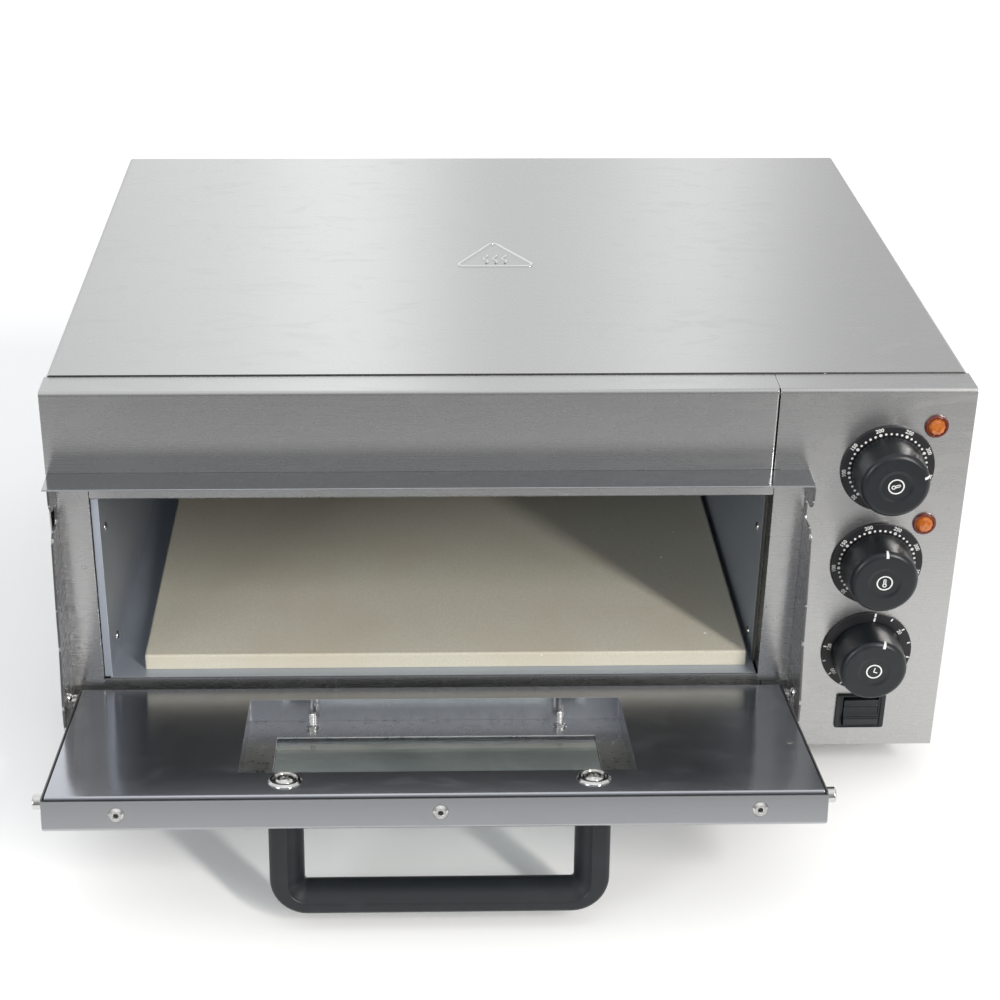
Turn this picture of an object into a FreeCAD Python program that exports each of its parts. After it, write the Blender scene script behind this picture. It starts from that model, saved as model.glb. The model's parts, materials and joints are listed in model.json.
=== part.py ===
import FreeCAD, Part
import math
import os
import re
from FreeCAD import Rotation, Vector

# A countertop deck oven. X runs to the right, Y to the back and Z up, in millimetres. The origin is on the
# surface that the oven stands on, under the middle of the whole object with its door open.
# Casing pieces are drawn from the lower left corner of the front plane, door pieces from the hinge axis with
# the door shut, and control pieces from the middle of their dial, with +Z out of the panel.

DIMENSIONS = {
    # casing
    "body_width": 560, "body_depth": 450, "body_height": 254, "foot_height": 25, "front_setback": 153.5,
    "skin": 1, "bend": 1.6, "strip_depth": 24, "cover_rise": 1, "cover_inset": 1, "flange_height": 26,
    "seam_x": 441, "seam_gap": 0.4, "ledge_top": 201, "ledge_reach": 22.5, "ledge_back": 12,
    "screw_radius": 2, "cover_screw_z": 14, "mark_y": 223, "over": 1,
    # door frame: cheeks at the sides, posts and lintel in front of the front plane
    "cheek_left": 4, "cheek_right": 463, "cheek_skin": 1.5, "cheek_foot": 22, "cheek_toe": -39.5,
    "frame_proud": 1.7,
    "opening_left": 25, "opening_right": 442, "opening_top": 184, "frame_foot": 51, "frame_return": 14,
    # baking chamber, inner faces
    "chamber_left": 30, "chamber_right": 440, "chamber_back": 402, "chamber_top": 187, "floor_top": 56,
    "partition_x": 462, "wool_low": 30, "rivet_radius": 1.6, "rivet_head_radius": 3, "rivet_head": 1.3,
    "stone_left": 50, "stone_front": 9, "stone_width": 386, "stone_depth": 386, "stone_thick": 10.5,
    "stone_edge": 1.5, "bulb_radius": 3, "bulb_length": 90, "bulb_z": 160,
    "element_radius": 3.25, "element_pitch": 50, "element_front": 35, "element_margin": 12,
    "upper_element_z": 176, "lower_element_z": 44,
    # door, shut: distances from the hinge axis
    "hinge_y": -9, "hinge_z": 43.8, "door_tilt": 8.3, "door_left": 9.5, "door_right": 457.5,
    "door_inner": 7, "door_thick": 21, "door_low": 4, "door_high": 146.75, "door_skin": 1.2,
    "recess_left": 119, "recess_right": 351, "recess_low": 15.5, "recess_high": 116, "recess_floor": 7.8,
    "window_left": 137, "window_right": 334, "window_low": 39, "window_high": 103,
    "glass_margin": 9, "glass_thick": 4,
    "hinge_pin_radius": 3, "running_gap": 0.05, "latch_pin_radius": 4.5, "latch_pin_z": 133.75,
    "latch_pin_y": -1.3, "pin_stem_radius": 3, "pin_length": 6.6, "stop_pin_radius": 2.5, "stop_pin_along": 5,
    "handle_span": 178, "handle_shift": 2.3, "handle_z": 127, "handle_reach": 61.5, "handle_leg": 20,
    "handle_grip": 16, "handle_depth": 18, "handle_corner": 22, "handle_edge": 3, "bolt_radius": 3,
    "washer_radius": 10, "bolt_head_radius": 6.4, "edge_screw_y": -3.7, "edge_screw_head": 4.7,
    "clamp_head_radius": 4, "stud_length": 16, "rim_step": 0.8, "free_rim_step": 2, "panel_gap": 0.9,
    # controls
    "dial_x": 510.3, "upper_dial_z": 201.6, "lower_dial_z": 135.4, "timer_dial_z": 71.7,
    "dial_ring_radius": 28.8, "dial_ring_thick": 1.6, "knob_radius": 22.4, "knob_reach": 25.8,
    "shaft_radius": 3, "knob_gap": 0.8, "knob_taper": 1.6, "knob_round": 4, "shaft_hole": 5,
    "shaft_inside": 12,
    "lamp_x": 537.3, "lamp_rise": 28, "lamp_radius": 5.6, "lamp_ring_radius": 7.3,
    "switch_x": 510.8, "switch_z": 26.5, "switch_width": 32, "switch_height": 25.1, "rocker_angle": 8,
    "tub_width": 28, "tub_height": 23, "collar_radius": 8, "collar_length": 6,
    # base and rear
    "foot_radius": 16, "foot_inset_x": 50, "foot_inset_y": 62, "gland_x": 510, "gland_z": 32,
    "stud_radius": 3, "gland_thread": 8, "gland_nut": 11, "gland_way": 4, "gland_reach": 14,
}

doc = FreeCAD.newDocument("DeckOven")
sheet = doc.addObject("Spreadsheet::Sheet", "Dims")
for row, (alias, number) in enumerate(DIMENSIONS.items(), start=1):
    sheet.set(f"A{row}", alias)
    sheet.set(f"B{row}", str(number))
    sheet.setAlias(f"B{row}", alias)
doc.recompute()

nodes = []


# ---- small helpers -------------------------------------------------------------------------------------

def dim(name):
    """The number in one cell of the sheet."""
    return float(getattr(sheet, name))


def bind(obj, prop, text):
    """Bind a property to an expression in which each word is a cell of the sheet."""
    obj.setExpression(prop, re.sub(r"\b(?!cos|sin)[a-z]\w+", lambda word: "Dims." + word.group(), str(text)))


def place(obj, x="0", y="0", z="0"):
    for axis, text in zip("xyz", (x, y, z)):
        bind(obj, f"Placement.Base.{axis}", text)
    return obj


def box(x, y, z):
    """A box from pairs of low and high expressions."""
    solid = doc.addObject("Part::Box", "Box")
    for side, (low, high) in zip(("Length", "Width", "Height"), (x, y, z)):
        bind(solid, side, f"({high}) - ({low})")
    return place(solid, x[0], y[0], z[0])


TURNS = {"x": Rotation(Vector(0, 1, 0), 90), "y": Rotation(Vector(1, 0, 0), -90), "z": Rotation()}


def rod(x, y, z, radius, length, along="z"):
    """A cylinder that starts at a point and runs the given way."""
    solid = doc.addObject("Part::Cylinder", "Rod")
    solid.Placement = FreeCAD.Placement(Vector(), TURNS[along])
    bind(solid, "Radius", radius)
    bind(solid, "Height", length)
    return place(solid, x, y, z)


def cone(x, y, z, low_radius, high_radius, length, along="z"):
    solid = doc.addObject("Part::Cone", "Cone")
    solid.Placement = FreeCAD.Placement(Vector(), TURNS[along])
    bind(solid, "Radius1", low_radius)
    bind(solid, "Radius2", high_radius)
    bind(solid, "Height", length)
    return place(solid, x, y, z)


def fuse(*parts):
    whole = doc.addObject("Part::MultiFuse", "Fuse")
    whole.Shapes = list(parts)
    return whole


def cut(base, *tools):
    result = doc.addObject("Part::Cut", "Cut")
    result.Base = base
    result.Tool = tools[0] if len(tools) == 1 else fuse(*tools)
    return result


def group(*parts):
    """Separate solids that share one node."""
    whole = doc.addObject("Part::Compound", "Group")
    whole.Links = list(parts)
    return whole


def fillet(base, radius, wanted):
    """Round the edges of a shape for which wanted(edge) is true."""
    doc.recompute()
    result = doc.addObject("Part::Fillet", "Fillet")
    result.Base = base
    result.Edges = [(i, radius, radius) for i, edge in enumerate(base.Shape.Edges, start=1) if wanted(edge)]
    return result


def rounded_outline(points):
    """Lines and tangent arcs round a closed list of (u, v, corner radius)."""
    corners = []
    for i, (u, v, radius) in enumerate(points):
        here = Vector(u, v, 0)
        back = Vector(points[i - 1][0], points[i - 1][1], 0) - here
        ahead = Vector(points[(i + 1) % len(points)][0], points[(i + 1) % len(points)][1], 0) - here
        if not radius:
            corners.append((here, here, here))
            continue
        half = back.getAngle(ahead) / 2
        run = radius / math.tan(half)
        back.normalize()
        ahead.normalize()
        middle = back + ahead
        middle.normalize()
        bulge = here + middle * (radius / math.sin(half) - radius)
        corners.append((here + back * run, bulge, here + ahead * run))
    pieces = []
    for i, (start, bulge, end) in enumerate(corners):
        if (end - start).Length > 1e-6:
            pieces.append(Part.Arc(start, bulge, end))
        following = corners[(i + 1) % len(corners)][0]
        if (following - end).Length > 1e-6:
            pieces.append(Part.LineSegment(end, following))
    return pieces


def sketched_body(plane, outline, offset="0"):
    """A PartDesign body with one closed sketch on one of its origin planes."""
    body = doc.addObject("PartDesign::Body", "Body")
    drawing = body.newObject("Sketcher::SketchObject", "Outline")
    base_plane = next(item for item in body.Origin.OriginFeatures if item.Role == plane)
    drawing.AttachmentSupport = [(base_plane, "")]
    drawing.MapMode = "FlatFace"
    drawing.addGeometry(rounded_outline(outline), False)
    bind(drawing, "AttachmentOffset.Base.z", offset)
    return body, drawing


def padded(plane, outline, length, offset="0"):
    body, drawing = sketched_body(plane, outline, offset)
    pad = body.newObject("PartDesign::Pad", "Pad")
    pad.Profile = drawing
    bind(pad, "Length", length)
    drawing.Visibility = False
    return body


def revolved(outline):
    """A body turned about Z from a half outline of (radius, height, corner radius)."""
    body, drawing = sketched_body("XZ_Plane", outline)
    turn = body.newObject("PartDesign::Revolution", "Revolution")
    turn.Profile = drawing
    turn.ReferenceAxis = (drawing, ["V_Axis"])
    turn.Angle = 360
    return body


# ---- frames: where the drawn pieces stand --------------------------------------------------------------

def name_node(obj, name):
    obj.Label = name
    nodes.append(obj)
    return obj


def held(obj):
    """A holder with a free placement, for a primitive whose own placement is already used."""
    return group(obj) if obj.TypeId in ("Part::Box", "Part::Cylinder") else obj


def casing(name, obj):
    """A piece drawn from the lower left corner of the front plane."""
    holder = held(obj)
    place(holder, "-body_width / 2", "-front_setback", "foot_height")
    return name_node(holder, name)


def door_piece(name, obj):
    """A piece drawn from the hinge axis with the door shut, shown at rest with the door open."""
    holder = held(obj)
    holder.Placement = FreeCAD.Placement(Vector(), Rotation(Vector(1, 0, 0), 90 - dim("door_tilt")))
    bind(holder, "Placement.Rotation.Angle", "90 - door_tilt")
    place(holder, "-body_width / 2", "hinge_y - front_setback", "hinge_z + foot_height")
    return name_node(holder, name)


def control(name, obj, x, z, pointer=0):
    """A piece drawn on a control's own axis, +Z out of the panel, turned clockwise by its pointer angle."""
    holder = held(obj)
    out_of_panel = Rotation(Vector(1, 0, 0), 90)
    holder.Placement = FreeCAD.Placement(Vector(), out_of_panel * Rotation(Vector(0, 0, 1), -pointer))
    place(holder, f"{x} - body_width / 2", "-front_setback", f"{z} + foot_height")
    return name_node(holder, name)


# ---- casing --------------------------------------------------------------------------------------------

def slots(x_values, z_values, length, height, along, start, depth):
    """Tools for rows of vent slots, cut along Y (rear) or X (side)."""
    tools = []
    for u in x_values:
        for z in z_values:
            ends = (f"{u} - {length / 2}", f"{u} + {length / 2}")
            tall = (f"{z} - {height / 2}", f"{z} + {height / 2}")
            deep = (f"{start}", f"{start} + {depth}")
            tools.append(box(ends, deep, tall) if along == "y" else box(deep, ends, tall))
    return tools


COVER_SCREW_Y = (60, 225, 390)


def cover_screw_holes():
    return [rod("-over", y, "cover_screw_z", "screw_radius", "body_width + 2 * over", "x")
            for y in COVER_SCREW_Y]


def top_cover():
    outer_left = dim("cover_inset")
    outer_right = dim("body_width") - dim("cover_inset")
    top = dim("body_height") + dim("cover_rise")
    skin = dim("skin")
    bend = dim("bend")
    channel = [
        (outer_left, 0, 0), (outer_left, -top, bend + skin), (outer_right, -top, bend + skin),
        (outer_right, 0, 0), (outer_right - skin, 0, 0), (outer_right - skin, skin - top, bend),
        (outer_left + skin, skin - top, bend), (outer_left + skin, 0, 0),
    ]
    # The XZ plane of a body looks along -Y, so the channel is drawn upright and padded towards the back.
    upright = [(u, -v, radius) for u, v, radius in channel]
    shell = padded("XZ_Plane", upright, "body_depth - strip_depth", "-body_depth")
    mark = embossed_mark("body_width / 2", "mark_y", top)
    vents = slots(range(300, 421, 24), (90, 150), 14, 5, "x", "body_width - 5", 6)
    return casing("top_cover", cut(fuse(shell, *mark), *vents, *cover_screw_holes()))


def embossed_mark(x, y, top):
    """A raised triangle with three plain wavy ribs in it."""
    sunk = 0.8
    triangles = []
    for size in (33.3, 29.7):
        side = doc.addObject("Part::Prism", "Triangle")
        side.Polygon = 3
        side.Circumradius = size
        side.Height = 2 * sunk
        side.Placement = FreeCAD.Placement(Vector(), Rotation(Vector(0, 0, 1), 90))
        place(side, x, y, top - sunk)
        triangles.append(side)
    wave = [(-2.6, -8.2), (0.6, -3.6), (-2.0, 1.6), (1.0, 6.4)]
    rib_pitch, rib_half, rib_height = 6.2, 0.9, 1.4
    ribs = []
    for k in (-1, 0, 1):
        for (u0, v0), (u1, v1) in zip(wave, wave[1:]):
            length = math.hypot(u1 - u0, v1 - v0) + rib_half
            bar = box(("0", length), (-rib_half, rib_half), ("0", rib_height))
            slope = math.degrees(math.atan2(v1 - v0, u1 - u0))
            bar.Placement = FreeCAD.Placement(Vector(), Rotation(Vector(0, 0, 1), slope))
            place(bar, f"{x} + {u0 + rib_pitch * k}", f"{y} + {v0}", top - sunk)
            ribs.append(bar)
    return [cut(*triangles), *ribs]


def front_panel():
    height = dim("body_height")
    skin = dim("skin")
    bend = dim("bend")
    low = dim("ledge_top")
    profile = [
        (0, low, 0), (0, height, bend + skin), (dim("strip_depth"), height, 0),
        (dim("strip_depth"), height - skin, 0), (skin, height - skin, bend), (skin, low, 0),
    ]
    face = padded("YZ_Plane", profile, "seam_x - seam_gap")
    fold = box(("seam_x - seam_gap - skin", "seam_x - seam_gap"), ("skin / 2", "strip_depth - seam_gap"),
               ("ledge_top", "body_height - skin"))
    tongue = box(("seam_x - strip_depth", "seam_x + seam_gap / 2"), ("bend + 2 * skin", "strip_depth"),
                 ("body_height - skin", "body_height"))
    return casing("front_panel", fuse(face, fold, tongue))


def control_panel():
    height = dim("body_height")
    skin = dim("skin")
    bend = dim("bend")
    profile = [
        (0, 0, 0), (0, height, bend + skin), (dim("strip_depth"), height, 0),
        (dim("strip_depth"), height - skin, 0), (skin, height - skin, bend), (skin, 0, 0),
    ]
    plate = padded("YZ_Plane", profile, "body_width - seam_x - seam_gap", "seam_x + seam_gap")
    inside = ("skin", "strip_depth - seam_gap")
    side = box(("body_width - skin", "body_width"), inside, ("0", "body_height - skin"))
    seam = box(("seam_x + seam_gap", "seam_x + seam_gap + skin"), inside, ("ledge_top", "body_height - skin"))
    through = ("-over", "skin + over")
    jamb = box(("seam_x - over", "opening_right + 3 * skin"), through, ("-over", "ledge_top"))
    holes = [rod("dial_x", "-over", z, "shaft_hole", "skin + 2 * over", "y")
             for z in ("upper_dial_z", "lower_dial_z", "timer_dial_z")]
    lamps = [rod("lamp_x", "-over", f"{z} + lamp_rise", "lamp_radius", "skin + 2 * over", "y")
             for z in ("upper_dial_z", "lower_dial_z")]
    switch = box(("switch_x - tub_width / 2", "switch_x + tub_width / 2"), through,
                 ("switch_z - tub_height / 2", "switch_z + tub_height / 2"))
    return casing("control_panel", cut(fuse(plate, side, seam), jamb, *holes, *lamps, switch))


def rear_panel():
    plate = box(("cover_inset + skin", "body_width - cover_inset - skin"),
                ("body_depth - skin", "body_depth"), ("skin", "body_height"))
    top = dim("body_height")
    plate = fillet(plate, 2, lambda edge: edge.BoundBox.ZMin > top - 0.1 and edge.BoundBox.XLength < 0.1)
    vents = slots(range(478, 543, 16), range(170, 231, 12), 10, 4, "y", "body_depth - 2", 3)
    low_vents = slots(range(60, 421, 30), (30,), 20, 5, "y", "body_depth - 2", 3)
    gland = rod("gland_x", "body_depth - skin - over", "gland_z", "gland_thread", "skin + 2 * over", "y")
    return casing("rear_panel", cut(plate, *vents, *low_vents, gland))


def base_tray():
    plate = box(("cover_inset + skin", "body_width - cover_inset - skin"), ("skin", "body_depth - skin"),
                ("0", "skin"))
    flanges = [box(side, ("strip_depth", "body_depth - skin"), ("0", "flange_height")) for side in (
        ("cover_inset + skin", "cover_inset + 2 * skin"),
        ("body_width - cover_inset - 2 * skin", "body_width - cover_inset - skin"))]
    feet = [rod(x, y, "-over", "stud_radius", "skin + 2 * over") for x, y in foot_places()]
    return casing("base_tray", cut(fuse(plate, *flanges), *cover_screw_holes(), *feet))


def kick_panel():
    plate = box(("cover_inset + skin", "opening_right + 2 * skin + seam_gap"), ("0", "skin"),
                ("skin", "floor_top - skin - 0.2"))
    return casing("kick_panel", plate)


def partition():
    plate = box(("partition_x", "partition_x + skin"), ("4 * skin", "body_depth - 2 * skin"),
                ("skin", "body_height - 4 * skin"))
    entries = [rod("partition_x - over", y, z, "element_radius + 3 * skin", "skin + 2 * over", "x")
               for y, z in element_terminals()]
    return casing("partition", cut(plate, *entries))


# ---- door frame ----------------------------------------------------------------------------------------

def hood_ledge():
    """The ledge over the door, with a small rounded front edge."""
    top = dim("ledge_top")
    reach = dim("ledge_reach")
    skin = dim("skin")
    back = dim("ledge_back")
    profile = [(-reach, top - skin, 0.4), (-reach, top, 0.5), (back, top, 0), (back, top - skin, 0)]
    ledge = padded("YZ_Plane", profile, "cheek_right - cheek_left + 3 * skin", "cheek_left - 3 * skin")
    control_gap = box(("seam_x", "body_width"), ("0", "ledge_back + over"), ("0", "ledge_top + over"))
    return casing("hood_ledge", cut(ledge, control_gap))


CHEEK_SCREW = (-21.3, 54.6)


def cheek(name, x_low):
    """A side plate with the notch that takes the latch pin of the shut door."""
    top = dim("ledge_top") - dim("skin")
    front = -dim("ledge_reach")
    foot = dim("cheek_foot")
    toe = dim("cheek_toe")
    hook = [(front, 190, 2), (-18, 184.2, 1.5), (-3, 182.6, 2.5), (-4.6, 169.6, 2.5), (-18, 170.6, 2)]
    leading_edge = [(-23.5, 167, 4), (-29.5, 122, 20), (-31.5, 96, 20), (toe, 58, 12), (toe, foot + 18, 8)]
    profile = [(0, top, 0), (front, top, 0), *hook, *leading_edge, (-14, foot, 5), (0, foot, 0)]
    plate = padded("YZ_Plane", profile, "cheek_skin", x_low)
    stop_y, stop_z = stop_pin_place()
    holes = [
        rod("cheek_left - over", "hinge_y", "hinge_z", "hinge_pin_radius", "cheek_right", "x"),
        rod("cheek_left - over", stop_y, stop_z, "stop_pin_radius", "cheek_right", "x"),
        rod("cheek_left - over", *CHEEK_SCREW, "screw_radius - 0.4", "cheek_right", "x"),
    ]
    return casing(name, cut(plate, *holes))


def post(name, outer, inner, inner_return):
    """An upright of the door frame: a face in front of the panels and a return beside the opening."""
    face = box((outer, inner), ("-frame_proud", "skin - frame_proud"), ("frame_foot", "ledge_top - skin"))
    side = box(inner_return, ("skin - frame_proud", "frame_return"), ("floor_top + 0.2", "ledge_top - skin"))
    return casing(name, fuse(face, side))


def door_lintel():
    height = dim("opening_top")
    proud = dim("frame_proud")
    skin = dim("skin")
    deep = dim("frame_return")
    top = dim("ledge_top") - skin
    profile = [
        (-proud, top, 0), (-proud, height, 1.4), (deep, height, 0), (deep, height + skin, 0),
        (skin - proud, height + skin, 0.4), (skin - proud, top, 0),
    ]
    bar = padded("YZ_Plane", profile, "opening_right - opening_left - 2 * seam_gap",
                 "opening_left + seam_gap")
    ends = [box(side, ("0", "frame_return + 1"), ("opening_top - 1", "opening_top + 2"))
            for side in (("opening_left", "chamber_left"), ("chamber_right", "opening_right"))]
    return casing("door_lintel", cut(bar, *ends))


# ---- baking chamber ------------------------------------------------------------------------------------

LEFT_RIVETS = ((32, 68), (20, 154), (380, 68), (380, 146))
RIGHT_RIVETS = ((32, 68), (30, 146), (380, 68), (380, 146))
BULB_Y = (190, 320)


def chamber():
    floor = box(("chamber_left - skin", "chamber_right + skin"), ("0", "chamber_back + skin"),
                ("floor_top - skin", "floor_top"))
    casing("chamber_floor", floor)
    walls = (("chamber_left_wall", "chamber_left - skin", "skin", LEFT_RIVETS),
             ("chamber_right_wall", "chamber_right", "frame_return + skin", RIGHT_RIVETS))
    for name, low, front, places in walls:
        plate = box((low, f"{low} + skin"), (front, "chamber_back"), ("floor_top", "chamber_top"))
        holes = [rod(f"{low} - over", y, z, "rivet_radius", "skin + 2 * over", "x") for y, z in places]
        if name == "chamber_right_wall":
            holes += [rod(f"{low} - over", y, z, "element_radius + 0.2", "skin + 2 * over", "x")
                      for y, z in element_terminals() if z == "upper_element_z"]
        else:
            # A flange turned towards the post closes the slot beside the opening.
            flange = box(("opening_left + seam_gap", "chamber_left"), ("skin", "2 * skin"),
                         ("floor_top", "opening_top - skin"))
            plate = fuse(plate, flange)
        casing(name, cut(plate, *holes))
    casing("chamber_back_wall", box(("chamber_left - skin", "chamber_right + skin"),
                                    ("chamber_back", "chamber_back + skin"), ("floor_top", "chamber_top")))
    casing("chamber_ceiling", box(("chamber_left - skin", "chamber_right + skin"),
                                  ("skin", "chamber_back + skin"), ("chamber_top", "chamber_top + skin")))
    rivets = []
    crown = "rivet_head_radius * 0.6"
    for y, z in LEFT_RIVETS:
        rivets.append(fuse(rod("chamber_left - skin", y, z, "rivet_radius", "skin", "x"),
                           cone("chamber_left", y, z, "rivet_head_radius", crown, "rivet_head", "x")))
    for y, z in RIGHT_RIVETS:
        rivets.append(fuse(rod("chamber_right", y, z, "rivet_radius", "skin", "x"),
                           cone("chamber_right - rivet_head", y, z, crown, "rivet_head_radius", "rivet_head",
                                "x")))
    casing("chamber_rivets", group(*rivets))


def insulation():
    low = "floor_top - 2 * skin"
    casing("ceiling_insulation", box(("cover_inset + 3 * skin", "partition_x"),
           ("strip_depth + 1", "body_depth - 2 * skin"), ("chamber_top + skin", "body_height - 4 * skin")))
    casing("left_insulation", box(("cover_inset + 3 * skin", "chamber_left - skin"),
           ("frame_return + 2", "chamber_back + skin"), ("wool_low", "chamber_top + skin")))
    right = box(("chamber_right + skin", "partition_x"), ("frame_return + 2", "chamber_back + skin"),
                (low, "chamber_top + skin"))
    leads = [rod("chamber_right", y, z, "element_radius + 0.3", "partition_x - chamber_right + over", "x")
             for y, z in element_terminals() if z == "upper_element_z"]
    casing("right_insulation", cut(right, *leads))
    casing("rear_insulation", box(("cover_inset + 3 * skin", "partition_x"),
           ("chamber_back + skin", "body_depth - 2 * skin"), ("wool_low", "chamber_top + skin")))
    casing("floor_insulation", box(("cover_inset + 8 * skin", "partition_x"),
           ("strip_depth", "body_depth - 2 * skin"), ("2 * skin", "wool_low")))


ELEMENT_RUNS = 8


def element_terminals():
    """Where the two ends of each element pass the partition: (y, z)."""
    first = dim("element_front")
    last = first + (ELEMENT_RUNS - 1) * dim("element_pitch")
    return [(y, z) for z in ("upper_element_z", "lower_element_z") for y in (first, last)]


def element(name, z):
    """A tubular heater bent into a flat serpentine, with both ends through the partition."""
    pitch = dim("element_pitch")
    left = dim("chamber_left") + dim("element_margin") + pitch / 2
    right = dim("chamber_right") - dim("element_margin") - pitch / 2
    outside = dim("partition_x") + dim("element_margin") + 2
    height = dim(z)
    edges = []
    start = Vector(outside, dim("element_front"), height)
    for run in range(ELEMENT_RUNS):
        y = dim("element_front") + run * pitch
        leftward = run % 2 == 0
        end_x = left if leftward else right
        if run == ELEMENT_RUNS - 1:
            end_x = outside
        end = Vector(end_x, y, height)
        edges.append(Part.LineSegment(start, end).toShape())
        if run < ELEMENT_RUNS - 1:
            turn_x = end_x + (-pitch / 2 if leftward else pitch / 2)
            start = Vector(end_x, y + pitch, height)
            edges.append(Part.Arc(end, Vector(turn_x, y + pitch / 2, height), start).toShape())
    spine = Part.Wire(edges)
    section = Part.Wire(Part.makeCircle(dim("element_radius"), edges[0].valueAt(0), Vector(-1, 0, 0)))
    tube = doc.addObject("Part::Feature", "Element")
    tube.Shape = spine.makePipeShell([section], True, False)
    return casing(name, tube)


def element_holders():
    """Clips that hang the upper heater from the ceiling and stand the lower one on its insulation."""
    width, half_depth = 8, 5.5
    hanger_z = ("upper_element_z - element_radius - skin", "chamber_top")
    stand_z = ("wool_low", "lower_element_z + element_radius + skin")
    clips = []
    for x in (120, 350):
        for run in (1, 3, 5):
            y = dim("element_front") + run * dim("element_pitch")
            for z, tube_z in ((hanger_z, "upper_element_z"), (stand_z, "lower_element_z")):
                block = box((x, x + width), (y - half_depth, y + half_depth), z)
                clips.append(cut(block, rod(x - 1, y, tube_z, "element_radius", width + 2, "x")))
    return casing("element_holders", group(*clips))


def baking_stone():
    slab = box(("stone_left", "stone_left + stone_width"), ("stone_front", "stone_front + stone_depth"),
               ("floor_top", "floor_top + stone_thick"))
    rim = dim("floor_top") + dim("stone_thick")
    rounded = fillet(slab, dim("stone_edge"), lambda edge: edge.BoundBox.ZMax > rim - 0.1
                     or edge.BoundBox.ZLength > 1)
    return casing("baking_stone", rounded)


def thermostat_bulbs():
    return casing("thermostat_bulbs", group(*[
        fuse(rod("chamber_right - 2 * bulb_radius", f"{y} - bulb_length / 2", "bulb_z", "bulb_radius",
                 "bulb_length", "y"),
             box(("chamber_right - 2 * bulb_radius", "chamber_right"), (y - 4, y + 4),
                 ("bulb_z - skin", "bulb_z + skin")))
        for y in BULB_Y]))


# ---- controls ------------------------------------------------------------------------------------------

DIALS = {"upper": ("upper_dial_z", 72), "lower": ("lower_dial_z", 0), "timer": ("timer_dial_z", 15)}


def dial(prefix, z, pointer):
    """One control: printed ring on the panel, turning knob and shaft, and the body behind the panel."""
    ring = cut(rod(0, 0, 0, "dial_ring_radius", "dial_ring_thick"),
               rod(0, 0, "-over", "shaft_hole", "dial_ring_thick + 2 * over"))
    control(f"{prefix}_dial_ring", fillet(ring, 0.5, outer_rim), "dial_x", z)
    control(f"{prefix}_knob", knob_cap(), "dial_x", z, pointer)
    shaft = rod(0, 0, "-shaft_inside", "shaft_radius", "shaft_inside + knob_reach - knob_round - 2 * skin")
    control(f"{prefix}_knob_shaft", shaft, "dial_x", z, pointer)


def outer_rim(edge):
    return edge.BoundBox.XLength > 2 * dim("dial_ring_radius") - 1 and edge.BoundBox.ZMin > 1


def knob_cap():
    """A slightly tapered round cap with a soft edge, hollow enough for its shaft."""
    foot = dim("dial_ring_thick") + dim("knob_gap")
    reach = dim("knob_reach")
    radius = dim("knob_radius")
    bore = dim("shaft_radius")
    face = radius - dim("knob_taper")
    blind = reach - dim("knob_round") - 2 * dim("skin")
    return revolved([
        (bore, foot, 0), (radius, foot, 0.5), (face, reach, dim("knob_round")), (0, reach, 0),
        (0, blind, 0), (bore, blind, 0),
    ])


def control_bodies():
    """The thermostats and the timer behind the control panel."""
    half_width, half_height, depth, tab, tab_thick = 22, 17, 28, 8, 0.8
    for name, z in (("upper_thermostat", "upper_dial_z"), ("lower_thermostat", "lower_dial_z")):
        back = f"-collar_length - {depth}"
        block = box((-half_width, half_width), (-half_height, half_height), (back, "-collar_length"))
        tabs = [box((u, u + 6), (-tab_thick / 2, tab_thick / 2), (f"{back} - {tab}", back))
                for u in (-16, -3, 10)]
        control(name, shaft_seat(block, *tabs), "dial_x", z)
    drum_radius, bell_radius, drum_depth, bell_depth = 24, 20, 34, 8
    drum = rod(0, 0, f"-collar_length - {drum_depth}", drum_radius, drum_depth)
    bell = rod(0, 0, f"-collar_length - {drum_depth + bell_depth}", bell_radius, bell_depth)
    control("timer_movement", shaft_seat(drum, bell), "dial_x", "timer_dial_z")


def shaft_seat(*parts):
    """A control body with the collar and the bore that its shaft turns in."""
    collar = rod(0, 0, "-collar_length", "collar_radius", "collar_length - skin")
    bore = rod(0, 0, "-shaft_inside - over", "shaft_radius + running_gap", "shaft_inside + over")
    return cut(fuse(*parts, collar), bore)


def lamps():
    """Two pilot lamps: a ring in front of the panel round a lens that reaches behind it."""
    proud, crown, behind = 1.8, 2.8, 16.2
    rings = []
    lenses = []
    for z in ("upper_dial_z", "lower_dial_z"):
        height = f"{z} + lamp_rise"
        flange = cone("lamp_x", -proud, height, "lamp_ring_radius - 0.6", "lamp_ring_radius", proud, "y")
        rings.append(cut(flange, rod("lamp_x", f"-{proud} - over", height, "lamp_radius", 5, "y")))
        lenses.append(fuse(
            cone("lamp_x", -proud - crown, height, "lamp_radius - 2.6", "lamp_radius", crown, "y"),
            rod("lamp_x", -proud, height, "lamp_radius", proud + behind, "y")))
    casing("lamp_rings", group(*rings))
    casing("lamp_lenses", group(*lenses))


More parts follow.
